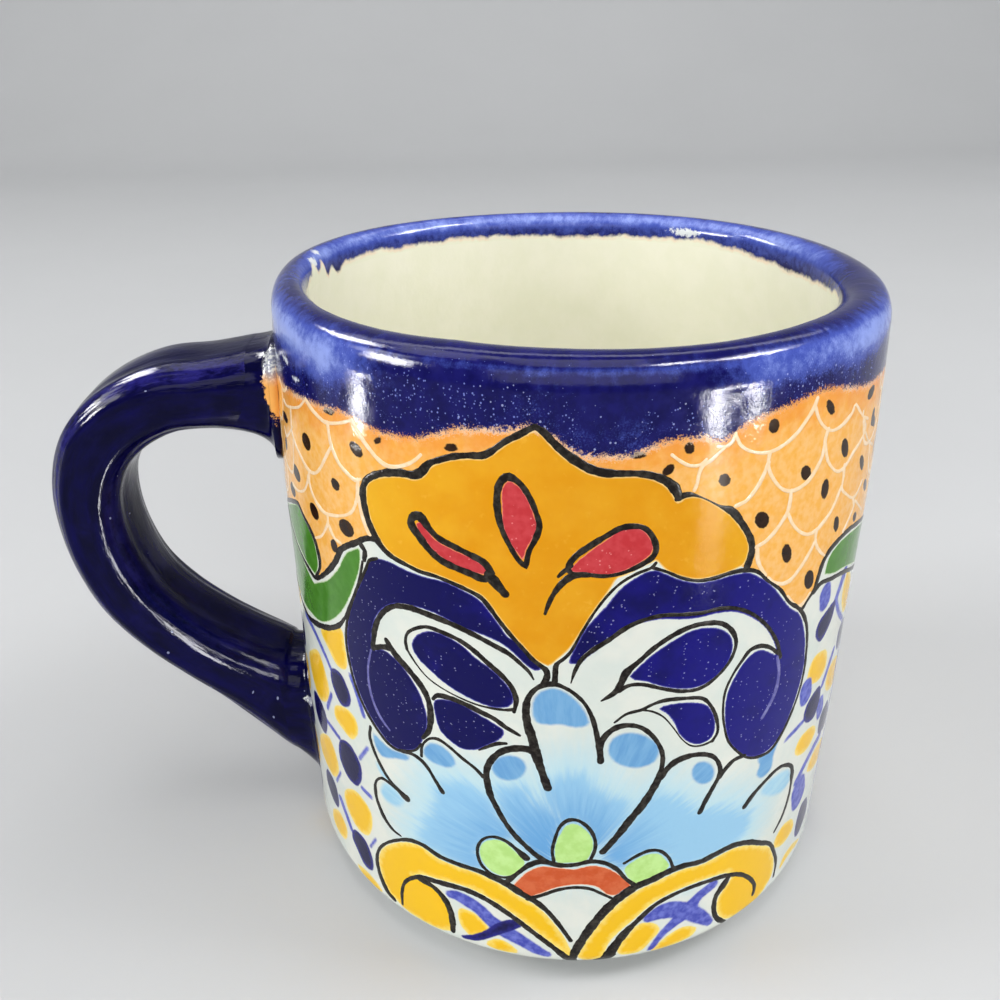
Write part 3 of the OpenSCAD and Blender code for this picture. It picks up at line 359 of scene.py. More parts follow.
DOTS = [
    (-53.75, 87.92, 1.38, -0.46, -1.33, -0.57, 0),
    (-37.28, 94.04, 1.45, 0.05, -0.35, -0.47, 0),
    (-44.20, 87.81, 0.74, -1.00, -1.24, -0.58, 0),
    (-32.02, 90.65, 1.03, -0.75, -0.73, -0.55, 0),
    (-49.33, 81.33, 1.11, -0.93, -1.30, -0.65, 0),
    (-52.40, 77.51, 0.81, -0.85, -1.30, -0.64, 0),
    (-36.80, 84.49, 0.64, -0.64, -0.79, -0.50, 0),
    (-43.35, 78.13, 0.90, -0.94, -1.13, -0.66, 0),
    (-35.03, 79.02, 1.18, -0.79, -1.13, -0.91, 0),
    (-38.29, 75.14, 0.37, -0.84, -0.83, -0.49, 0),
    (-28.15, 92.79, 0.63, 0.43, 0.25, -0.28, 0),
    (-18.00, 93.94, 0.93, 0.07, -0.05, -0.48, 0),
    (3.05, 93.96, 1.01, -0.02, 0.04, -0.47, 0),
    (6.66, 91.90, 0.65, 0.50, 0.37, -0.46, 0),
    (9.01, 94.22, 0.12, -0.71, -0.64, 0.01, 0),
    (20.04, 95.09, -0.12, -0.85, -0.84, 0.30, 1),
    (29.68, 95.12, 0.67, -1.12, -0.79, 0.06, 0),
    (41.04, 93.81, -0.87, -0.72, -1.10, 0.45, 0),
    (44.56, 88.74, 0.25, -0.92, -1.12, 0.42, 0),
    (34.30, 88.59, 0.34, -1.41, -1.01, 0.33, 0),
    (40.95, 84.25, 0.54, -1.34, -1.02, 0.39, 0),
    (26.17, 87.81, 0.01, -0.96, -0.99, 0.34, 0),
    (30.54, 84.36, -0.06, -1.38, -0.84, 0.35, 0),
    (13.71, 89.73, 0.07, -0.81, -0.82, 0.14, 2),
    (19.56, 83.43, 0.13, -1.14, -1.15, 0.29, 1),
    (24.34, 77.52, 0.22, -1.43, -0.92, 0.30, 0),
    (34.73, 77.91, 0.11, -1.20, -0.80, 0.36, 0),
    (29.73, 71.72, 0.01, -1.45, -1.11, 0.56, 0),
    (44.95, 79.35, 0.17, -0.97, -1.32, 0.61, 0),
    (41.40, 76.12, -0.10, -0.70, -0.87, 0.44, 0),
]
BAND = "-60.00,92.60 -52.86,92.81 -44.28,93.82 -39.84,94.23 -36.00,94.81 -33.55,94.84 -31.34,94.66 -29.31,94.17 -27.55,94.10 -25.00,94.18 -22.47,94.44 -20.34,95.18 -18.81,95.78 -17.44,96.32 -15.65,96.49 -13.56,96.66 -11.64,96.83 -9.97,97.06 -8.32,97.15 -6.46,96.54 -4.92,95.31 -3.50,94.41 -2.27,94.16 -0.29,94.00 1.71,94.04 3.92,94.71 6.29,95.33 7.80,95.47 9.34,95.47 11.05,95.38 12.99,94.52 14.35,95.13 15.73,95.97 17.45,96.49 18.96,96.81 20.84,97.04 22.83,97.24 25.76,97.68 29.30,97.59 33.67,96.68 39.18,95.52 43.50,95.20 46.00,95.00 52.00,94.80 60.00,93.90"

SWAG = "32.00,71.30 34.02,74.37 36.34,75.01 39.63,75.06 46.00,73.40 52.00,71.30 58.00,69.50 64.00,68.10 66.10,67.60 70.10,68.20 76.10,70.20 80.90,72.70 86.90,75.30 90.00,76.30"

TOKEN = re.compile(r"(-?[\d.]+),(-?[\d.]+)(\*)?(?::([\d.]+))?")


def parse(text):
    rows, w = [], 0.0
    for x, y, corner, ww in TOKEN.findall(text):
        w = float(ww) if ww else w
        rows.append((float(x), float(y), 1.0 if corner else 0.0, w))
    return np.array(rows)


def smooth_run(p, closed, step):
    n, out = len(p), []
    gap = lambda a, b: max(math.hypot(*(a[:2] - b[:2])) ** 0.5, 1e-6)
    for i in range(n if closed else n - 1):
        p1, p2 = p[i], p[(i + 1) % n]
        p0 = p[(i - 1) % n] if closed or i > 0 else 2 * p1 - p2
        p3 = p[(i + 2) % n] if closed or i + 2 < n else 2 * p2 - p1
        t1 = gap(p0, p1)
        t2 = t1 + gap(p1, p2)
        t3 = t2 + gap(p2, p3)
        k = max(1, math.ceil(math.hypot(*(p2[:2] - p1[:2])) / step))
        t = np.linspace(t1, t2, k + 1)[:-1, None]
        a1 = (t1 - t) / t1 * p0 + t / t1 * p1
        a2 = (t2 - t) / (t2 - t1) * p1 + (t - t1) / (t2 - t1) * p2
        a3 = (t3 - t) / (t3 - t2) * p2 + (t - t2) / (t3 - t2) * p3
        b1 = (t2 - t) / t2 * a1 + t / t2 * a2
        b2 = (t3 - t) / (t3 - t1) * a2 + (t - t1) / (t3 - t1) * a3
        out.append((t2 - t) / (t2 - t1) * b1 + (t - t1) / (t2 - t1) * b2)
    if not closed:
        out.append(p[-1:])
    return np.vstack(out)


def curve(text, closed=False, step=0.3):
    """Points (u, v, width) along a drawn line."""
    pts = parse(text)
    d, c = pts[:, [0, 1, 3]], np.where(pts[:, 2] > 0)[0]
    if closed:
        if not len(c):
            return smooth_run(d, True, step)
        d = np.roll(d, -c[0], 0)
        k = np.r_[c - c[0], len(d)]
        d = np.vstack([d, d[:1]])
        return np.vstack([smooth_run(d[k[i]:k[i + 1] + 1], False, step)[:-1] for i in range(len(k) - 1)])
    k = np.unique(np.r_[0, c, len(d) - 1])
    runs = [smooth_run(d[k[i]:k[i + 1] + 1], False, step) for i in range(len(k) - 1)]
    return np.vstack([r[:-1] for r in runs[:-1]] + [runs[-1]])


LEFT = -74.0        # the painted face and half of each side, before it repeats


def local(u):
    return (u - LEFT) % HALF + LEFT


def ellipse(cu, cv, a, b, tilt):
    t = np.linspace(0, 2 * math.pi, 28, endpoint=False)
    x, y = a * np.cos(t), b * np.sin(t)
    c, s = math.cos(tilt), math.sin(tilt)
    return np.stack([cu + x * c - y * s, cv + x * s + y * c, 0 * t], 1)


band_line = curve(BAND, step=0.4)[:, :2]


def band_low(u):
    """Height of the rim coat's lower edge."""
    lu = local(u)
    x = np.r_[LEFT, band_line[:, 0], LEFT + HALF]
    y = np.r_[93.6, band_line[:, 1], 93.6]
    o = np.argsort(x, kind="stable")
    return np.interp(lu, x[o], y[o])


INNER_AT = np.array([-3.15, -2.99, -2.69, -2.54, -2.39, -2.22, -2.04, -1.99, -1.95, -1.91, -1.87, -1.83, -1.78, -1.72, -1.64, -1.35, -0.8,
                     0.0, 0.8, 1.3, 1.58, 1.86, 2.07, 2.25, 2.41, 2.56, 2.71, 2.85, 3.0, 3.15])
INNER = np.array([109.8, 109.6, 109.4, 109.6, 109.5, 109.1, 109.6, 110.6, 109.0, 110.4, 107.6, 109.0, 107.0, 108.7, 109.1, 108.6, 108.2,
                  108.3, 108.2, 108.8, 109.9, 110.5, 110.1, 109.5, 109.1, 109.5, 109.6, 109.7, 110.0, 109.8])


def band_high(u):
    """Where the rim coat's brushed edge ends inside the lip."""
    t = (u / R0 + math.pi) % (2 * math.pi) - math.pi
    k = np.clip(np.searchsorted(INNER_AT, t) - 1, 0, len(INNER_AT) - 2)
    w = ease((t - INNER_AT[k]) / (INNER_AT[k + 1] - INNER_AT[k]))
    return INNER[k] + (INNER[k + 1] - INNER[k]) * w + 0.10 * np.sin(31 * t) + 0.08 * np.sin(53 * t + 1.0) + 0.06 * np.sin(87 * t + 2.0)


def rim_paleness_and_reflection(u, v):
    """Where the rim coat shows paler: a thinner coat inside the back of the lip; on the wall, pale clouds beside each
    face that are partly a thinner coat and partly painted reflection, a small painted reflection low in the middle, and
    a painted highlight along the top of the front lip.
    """
    th = (u / R0 + math.pi) % (2 * math.pi) - math.pi
    back = ease((np.abs(th) - 1.2) / 0.7)
    t = back * (1.15 * np.exp(-((v - 106.9) / 1.6) ** 2) + 0.35 * np.exp(-((v - 109.4) / 1.0) ** 2)) + (1 - back) * 0.5 * np.exp(-((v - 108.8) / 1.6) ** 2)
    # pale clouds beside each face: partly a thinner coat, partly painted reflection; the long narrow one at 102.9 is a
    # painted highlight along the front lip, the small one at 97.2 a painted reflection
    for cu, cv, su, sv, k in ((-52, 100.9, 20, 3.0, 1.55), (-37, 99.5, 5, 3.5, 0.5), (42, 101.7, 21, 2.6, 1.35), (20, 101.4, 7, 2.2, 0.5),
                              (-6, 102.9, 34, 0.55, 0.45), (2, 97.2, 4, 2.5, 0.25), (92, 101.0, 18, 2.5, 1.0), (140, 101.8, 18, 2.2, 0.8),
                              (188, 101.2, 18, 2.6, 1.1)):
        d = (u - cu + HALF) % (2 * HALF) - HALF
        t = t + k * np.exp(-(d / su) ** 2 - ((v - cv) / sv) ** 2)
    return t


def rim_dust(u, v):
    """How much pale dust lies in the rim coat, most on the two sides of the painted face."""
    t = 0.30
    for cu, cv, su, sv, k in ((-27, 99.2, 13, 3.2, 0.75), (-10, 98.0, 12, 2.4, 0.45), (12, 97.5, 9, 2.6, 0.55), (30, 99.0, 12, 3.0, 0.60),
                              (-62, 98.5, 14, 3.0, 0.5), (100, 99.0, 16, 3.0, 0.6), (135, 98.5, 16, 3.0, 0.5), (170, 99.0, 14, 3.0, 0.6)):
        d = (u - cu + HALF) % (2 * HALF) - HALF
        t = t + k * np.exp(-(d / su) ** 2 - ((v - cv) / sv) ** 2)
    return t


# The sides between the two painted faces: more scales above and more ovals below
rng = np.random.default_rng(7)
side_cream, side_dots = [], []
for row, (vb, first) in enumerate(((92.0, 49.2), (86.0, 43.6), (86.0, 52.9), (80.0, 48.6), (74.6, 52.2))):
    for k in range(5):
        ub = first + 9.3 * k
        if ub > 87.0 or (row == 1 and k > 0) or (row == 4 and k > 3):
            continue
        low = rng.uniform(-0.35, 0.35, 7)
        side_cream.append(np.array([(ub - 4.65 + low[0], vb + 6.0, 0.42), (ub - 4.3 + low[1], vb + 3.6, 0.48), (ub - 2.7 + low[2], vb + 1.0 + low[4], 0.54), (ub, vb + low[3], 0.54),
                                    (ub + 2.7 + low[4], vb + 1.0 + low[2], 0.52), (ub + 4.3 + low[5], vb + 3.6, 0.48), (ub + 4.65 + low[6], vb + 6.0, 0.42)]))
        lean = rng.uniform(-0.35, 0.35)
        side_dots.append((ub + 0.2 + low[0], vb + 3.4 + low[1], lean, 1.25 + low[2] * 0.5, 0.72 + low[3] * 0.3, 0.1 - lean * 0.4, 0))
side_yellow, side_navy, side_lines = [], [], []
for col, (cu, top) in enumerate(((54.8, 56.0), (63.6, 54.0), (72.4, 55.5), (81.2, 57.0))):
    for k in range(7):
        cv = top - 7.6 * k
        if cv < 8:
            continue
        du, dv, size, turn = rng.uniform(-1, 1, 4) * (0.6, 0.5, 0.10, 0.16)
        yellow = (col + k) % 2
        (side_yellow if yellow else side_navy).append(
            ellipse(cu + du, cv + dv, (2.6 if yellow else 2.1) * (1 + size), (3.6 if yellow else 3.3) * (1 - size), 0.30 * (-1) ** col + turn))
    side_lines.append(np.array([(cu - 4.4 + (1.5 if i % 2 else -1.5) + rng.uniform(-0.4, 0.4), 8 + 3.8 * i, 0.5 + rng.uniform(-0.1, 0.1)) for i in range(12)]))

# ---------------------------------------------------------------- distance fields of the paint


def to_segments(px, py, c, closed):
    """Distance to a line, the line's half width there, and, for a closed one, inside or not."""
    a, b = (c, np.roll(c, -1, 0)) if closed else (c[:-1], c[1:])
    best = np.full(len(px), 1e9)
    half = np.zeros(len(px))
    wind = np.zeros(len(px), bool)
    for i in range(len(a)):
        ax, ay, aw = a[i]
        bx, by, bw = b[i]
        dx, dy = bx - ax, by - ay
        ll = dx * dx + dy * dy
        if ll < 1e-12:
            continue
        t = np.clip(((px - ax) * dx + (py - ay) * dy) / ll, 0, 1)
        d = (px - ax - t * dx) ** 2 + (py - ay - t * dy) ** 2
        m = d < best
        best[m] = d[m]
        half[m] = (aw + (bw - aw) * t[m]) / 2
        if closed and dy != 0:
            wind ^= ((ay > py) != (by > py)) & (px < (py - ay) * dx / dy + ax)
    return np.sqrt(best), half, wind


def put(field, lu, v, c, kind, far=3.0):
    """Adds one outline to a field: 'area' is positive inside, 'line' within its width."""
    for shift in (-HALF, 0.0, HALF):
        lo, hi = c[:, :2].min(0), c[:, :2].max(0)
        m = np.where((lu > lo[0] + shift - far) & (lu < hi[0] + shift + far) & (v > lo[1] - far) & (v < hi[1] + far))[0]
        if not len(m):
            continue
        d, half, wind = to_segments(lu[m] - shift, v[m], c, kind == "area")
        s = np.where(wind, d, -d) - half if kind == "area" else half - d
        field[m] = np.maximum(field[m], s)


def rim_fields(u, v):
    spot = np.full(len(u), -3.0)
    for cu, cv, a, b in RIM_SPOTS:
        d = (u - cu + HALF) % (2 * HALF) - HALF
        spot = np.maximum(spot, (1 - np.hypot(d / a, (v - cv) / b)) * min(a, b))
    return {"f_band": v - band_low(u), "f_high": band_high(u) - v, "f_rim_pale_and_reflection": rim_paleness_and_reflection(u, v), "f_dust": rim_dust(u, v), "f_spot": spot}


# white spots in the rim coat: middle and half axes
RIM_SPOTS = ((111.0, 108.3, 3.4, 0.7), (-80.5, 107.2, 1.3, 0.8), (-84.0, 106.2, 0.9, 0.6), (-57.5, 95.6, 1.8, 0.5),
             (-51.0, 96.9, 1.5, 0.45), (-46.5, 95.4, 1.2, 0.4))


def paint_fields(u, v):
    """Signed distances, in millimetres, to the edge of every colour at the points u, v."""
    lu = local(u)
    out = {}
    areas = {k: [curve(t, True) for t in ts] for k, ts in FILL.items()}
    lines = {k: [curve(t) for t in ts] for k, ts in STROKES.items()}
    groups = {
        "f_scale": ([*areas["scale"]], []),
        "f_yellow": ([*areas["yellow"], *areas["lat_y"], *side_yellow], []),
        "f_wash": ([*areas["wash"]], []),
        "f_cap": ([*areas["cap"]], []),
        "f_tint": ([*areas["cap2"]], []),
        "f_peri": ([], [*lines["peri"], *lines["lline"]]),
        "f_lime": ([*areas["lime"]], []),
        "f_brick": ([*areas["brick"]], []),
        "f_navy": ([*areas["navy"]], []),
        "f_oval": ([*areas["lat_n"], *side_navy], [*lines["deepx"]]),
        "f_mantle": ([*areas["mantle"]], []),
        "f_red": ([*areas["red"]], []),
        "f_green": ([*areas["green"]], []),
    }
    for name, (inside, strokes) in groups.items():
        far = 9.0 if name == "f_wash" else 3.0
        f = np.full(len(u), -far)
        for c in inside:
            put(f, lu, v, c, "area", far)
        for c in strokes:
            put(f, lu, v, c, "line")
        out[name] = f
    f = np.full(len(u), -3.0)
    for cu, cv, ax, ay, bx, by, _ in [*DOTS, *side_dots]:
        det = ax * by - ay * bx
        size = min(math.hypot(ax, ay), math.hypot(bx, by))
        for shift in (-HALF, 0.0, HALF):
            x, y = lu - cu - shift, v - cv
            m = np.where((np.abs(x) < 5) & (np.abs(y) < 5))[0]
            if len(m):
                p, q = (x[m] * by - y[m] * bx) / det, (ax * y[m] - ay * x[m]) / det
                f[m] = np.maximum(f[m], (1 - np.hypot(p, q)) * size)
    out["f_dot"] = f
    out.update(rim_fields(u, v))
    return out


# ---------------------------------------------------------------- meshes


def make_mesh(name, verts, quads, tris=(), normals=None, attrs=None, uv=None, mats=(), mat_index=None, uv_rows=1):
    quads = np.asarray(quads, np.int32).reshape(-1, 4)
    tris = np.asarray(tris, np.int32).reshape(-1, 3)
    me = bpy.data.meshes.new(name)
    me.vertices.add(len(verts))
    me.vertices.foreach_set("co", (np.asarray(verts, float) * MM).ravel())
    loops = np.r_[quads.ravel(), tris.ravel()]
    me.loops.add(len(loops))
    me.loops.foreach_set("vertex_index", loops)
    n = len(quads) + len(tris)
    me.polygons.add(n)
    me.polygons.foreach_set("loop_start", np.r_[np.arange(len(quads)) * 4, len(quads) * 4 + np.arange(len(tris)) * 3].astype(np.int32))
    for m in mats:
        me.materials.append(m)
    if mat_index is not None:
        me.polygons.foreach_set("material_index", np.asarray(mat_index, np.int32))
    me.update(calc_edges=True)
    me.polygons.foreach_set("use_smooth", np.ones(n, bool))
    for key, val in (attrs or {}).items():
        if val.ndim == 1:
            me.attributes.new(key, "FLOAT", "POINT").data.foreach_set("value", val.astype(np.float32))
        else:
            me.attributes.new(key, "FLOAT_VECTOR", "POINT").data.foreach_set("vector", val.astype(np.float32).ravel())
    if uv is not None:
        layer = me.uv_layers.new(name="OFBake")
        corner = uv[loops].copy()
        k = np.r_[np.repeat(np.arange(len(quads)), 4), len(quads) + np.repeat(np.arange(len(tris)), 3)]
        top, low = np.full(n, -1e9), np.full(n, 1e9)
        np.maximum.at(top, k, corner[:, 0])
        corner[(top[k] > 0.75) & (corner[:, 0] < 0.25), 0] += 1.0
        np.minimum.at(low, k, corner[:, 0])
        # round the cup in as many rows as asked for, so that the map's pixels are about square
        row = np.floor(low * uv_rows + 1e-6)[k]
        corner[:, 0] = np.clip((corner[:, 0] * uv_rows - row) / 1.012 + 0.004, 0, 1)
        corner[:, 1] = (row % uv_rows + 0.01 + 0.98 * corner[:, 1]) / uv_rows
        layer.data.foreach_set("uv", corner.astype(np.float32).ravel())
    me.validate()
    if normals is not None:
        me.normals_split_custom_set_from_vertices(normals.astype(np.float32).tolist())
    ob = bpy.data.objects.new(name, me)
    bpy.context.scene.collection.objects.link(ob)
    return ob


def columns(front, back):
    """Angles round the cup, closer together on the painted face."""
    a = np.linspace(-62, 52, front, endpoint=False)
    b = np.linspace(52, 2 * HALF - 62, back, endpoint=False)
    return np.r_[a, b]


def ring_quads(at, rows, n, flip=False):
    j, i = np.meshgrid(np.arange(rows), np.arange(n), indexing="ij")
    a = at + j * n + i
    b = at + j * n + (i + 1) % n
    q = np.stack([a, b, b + n, a + n], -1).reshape(-1, 4)
    return q[:, ::-1] if flip else q


def bake_uv(u, v, lo=0.0, hi=112.0):
    return np.stack([((u - LEFT) / (2 * HALF)) % 1.0, np.clip((v - lo) / (hi - lo), 0, 1)], 1)


def round_wall(u, v):
    """Where a point lies for the colours' grain, with no seam round the cup."""
    r = R0 * np.clip((V_END - v) / 36.0, 0, 1)
    return np.stack([r * np.sin(u / R0), -r * np.cos(u / R0), np.minimum(v, V_END - 36.0)], 1)


def coat(name, us, vs, thick, mats, inner_rows=8):
    """A closed shell of glaze along part of the section."""
    n, rows = len(us), len(vs)
    u, v = np.tile(us, rows), np.repeat(vs, n)
    pick = np.unique(np.round(np.linspace(0, rows - 1, inner_rows)).astype(int))
    ui, vi = np.tile(us, len(pick)), np.repeat(vs[pick], n)
    no, ni = normal(u, v), normal(ui, vi)
    verts = np.vstack([point(u, v), point(ui, vi) - ni * thick])
    m = rows * n
    q = [ring_quads(0, rows - 1, n), ring_quads(m, len(pick) - 1, n, True)]
    i = np.arange(n)
    j = (i + 1) % n
    q.append(np.stack([j, i, m + i, m + j], 1))
    last, last_in = (rows - 1) * n, m + (len(pick) - 1) * n
    q.append(np.stack([last + i, last + j, last_in + j, last_in + i], 1))
    ua, va = np.r_[u, ui], np.r_[v, vi]
    attrs = paint_fields(ua, va)
    attrs["paint"] = round_wall(ua, va)
    attrs["face"] = np.stack([local(ua), va, 0 * ua], 1)
    return make_mesh(name, verts, np.vstack(q), normals=np.vstack([no, -ni]), attrs=attrs, uv=bake_uv(ua, va, vs[0], vs[-1]), mats=mats, uv_rows=2)


RING = ((-1.0, -0.03), (-0.74, 0.55), (0.0, 1.0), (0.74, 0.55), (1.0, -0.03), (0.0, -1.6))


def brush_lines(name, jobs, mats):
    """Raised brush lines: each a closed, slightly domed ribbon that follows the wall."""
    verts, quads, tris, index, us, vs, at = [], [], [], [], [], [], 0
    normals = []
    for job, (c, closed, slot, high) in enumerate(jobs):
        if closed:
            c = np.vstack([c, c[:1]])
        seg = np.hypot(*np.diff(c[:, :2], axis=0).T)
        keep = np.r_[True, seg > 1e-6]
        c = c[keep]
        s = np.r_[0, np.cumsum(np.hypot(*np.diff(c[:, :2], axis=0).T))]
        k = max(3, int(s[-1] / 0.42) + 1)
        t = np.linspace(0, s[-1], k)
        line = np.stack([np.interp(t, s, c[:, i]) for i in range(3)], 1)
        if closed:
            line = line[:-1]
            tang = np.roll(line[:, :2], -1, 0) - np.roll(line[:, :2], 1, 0)
        else:
            tang = np.gradient(line[:, :2], axis=0)
        tang /= np.maximum(np.hypot(*tang.T)[:, None], 1e-9)
        # the brush presses unevenly
        press = sum(k * np.sin(2 * math.pi * t[:len(line)] / w + 1.7 * job + w) for k, w in ((0.06, 4.3), (0.05, 2.1), (0.05, 1.15)))
        fade = 1.0 if not closed else np.clip(np.minimum(t[:len(line)], s[-1] - t[:len(line)]) / 2.0, 0, 1)
        half = line[:, 2] / 2 * (1 + press * fade)
        if not closed:
            a, b = line[0], line[-1]
            head = np.array([(a[0] - tang[0, 0] * half[0] * x, a[1] - tang[0, 1] * half[0] * x, 0) for x in (1.0, 0.86, 0.5)])
            tail = np.array([(b[0] + tang[-1, 0] * half[-1] * x, b[1] + tang[-1, 1] * half[-1] * x, 0) for x in (0.5, 0.86, 1.0)])
            line = np.vstack([head, line, tail])
            tang = np.vstack([np.repeat(tang[:1], 3, 0), tang, np.repeat(tang[-1:], 3, 0)])
            half = np.r_[half[0] * np.array([0.06, 0.51, 0.87]), half, half[-1] * np.array([0.87, 0.51, 0.06])]
        side = np.stack([-tang[:, 1], tang[:, 0]], 1)
        rise = high * np.clip(half / 0.3, 0.35, 1.0)
        n = len(line)
        for shift in (0.0, HALF):
            pu = np.stack([line[:, 0] + shift + side[:, 0] * half * x for x, _ in RING], 1)
            pv = np.clip(np.stack([line[:, 1] + side[:, 1] * half * x for x, _ in RING], 1), 0.2, V_END)
            nn = normal(pu, pv)
            hh = np.stack([rise * y for _, y in RING], 1)
            verts.append((point(pu, pv) + nn * hh[..., None]).reshape(-1, 3))
            us.append(pu.ravel())
            vs.append(pv.ravel())
            lean = np.zeros((n, 6, 3))
            w = len(RING)
            j, i = np.meshgrid(np.arange(n if closed else n - 1), np.arange(w), indexing="ij")
            p, q = at + j * w + i, at + j * w + (i + 1) % w
            r, z = at + ((j + 1) % n) * w + i, at + ((j + 1) % n) * w + (i + 1) % w
            quads.append(np.stack([p, q, z, r], -1).reshape(-1, 4)[:, ::-1])
            count = len(quads[-1])
            if not closed:
                e = at + (n - 1) * w
                quads.append(np.array([[at, at + 1, at + 2, at + 5], [at + 5, at + 2, at + 3, at + 4],
                                       [e + 5, e + 2, e + 1, e], [e + 4, e + 3, e + 2, e + 5]]))
                count += 4
            index.append(np.full(count, slot))
            at += n * w
    u, v = np.concatenate(us), np.concatenate(vs)
    return make_mesh(name, np.vstack(verts), np.vstack(quads), uv=bake_uv(u, v), mats=mats, uv_rows=2,
                     attrs={"paint": round_wall(u, v)}, mat_index=np.concatenate(index))

# ---------------------------------------------------------------- materials


def lin(hexa):
    c = [int(hexa[i:i + 2], 16) / 255 for i in (1, 3, 5)]
    return tuple(x / 12.92 if x <= 0.04045 else ((x + 0.055) / 1.055) ** 2.4 for x in c) + (1.0,)


class Graph:
    """Short helpers for one material's nodes."""

    def __init__(self, name, rough=0.12, ior=1.5, level=0.14):
        self.mat = bpy.data.materials.new(name)
        self.mat.use_nodes = True
        self.nt = self.mat.node_tree
        self.bsdf = self.nt.nodes["Principled BSDF"]
        self.bsdf.inputs["Roughness"].default_value = rough
        self.bsdf.inputs["IOR"].default_value = ior
        self.bsdf.inputs["Specular IOR Level"].default_value = level
        self.cache = {}

    def put(self, kind, ins=(), **props):
        n = self.nt.nodes.new(kind)
        for k, v in props.items():
            setattr(n, k, v)
        for key, val in dict(ins).items():
            s = n.inputs[key]
            if isinstance(val, bpy.types.NodeSocket):
                self.nt.links.new(val, s)
            else:
                s.default_value = val
        return n

    def attr(self, name, vector=False):
        if name not in self.cache:
            self.cache[name] = self.put("ShaderNodeAttribute", attribute_name=name)
        return self.cache[name].outputs["Vector" if vector else "Fac"]

    def noise(self, vec, scale, detail=2.0, rough=0.5, stretch=None, at=(0, 0, 0)):
        if stretch or any(at):
            vec = self.put("ShaderNodeMapping", {0: vec, 1: at, 3: stretch or (1, 1, 1)}).outputs[0]
        return self.put("ShaderNodeTexNoise", {"Vector": vec, "Scale": scale, "Detail": detail, "Roughness": rough}).outputs["Fac"]

    def math(self, op, a, b=0.0, c=0.0):
        return self.put("ShaderNodeMath", {0: a, 1: b, 2: c}, operation=op).outputs[0]

    def ramp(self, x, lo, hi, a=0.0, b=1.0, soft=True):
        return self.put("ShaderNodeMapRange", {0: x, 1: lo, 2: hi, 3: a, 4: b},
                        interpolation_type="SMOOTHSTEP" if soft else "LINEAR").outputs[0]

    def mix(self, t, a, b, blend="MIX"):
        n = self.nt.nodes.new("ShaderNodeMix")
        n.data_type, n.blend_type = "RGBA", blend
        for key, val in ((0, t), (6, a), (7, b)):
            if isinstance(val, bpy.types.NodeSocket):
                self.nt.links.new(val, n.inputs[key])
            else:
                n.inputs[key].default_value = val
        return n.outputs[2]

    def link(self, sock, name):
        self.nt.links.new(sock, self.bsdf.inputs[name])

    def bump(self, height, strength, dist=0.001):
        n = self.put("ShaderNodeBump", {"Strength": strength, "Distance": dist, "Height": height})
        self.nt.links.new(n.outputs[0], self.bsdf.inputs["Normal"])


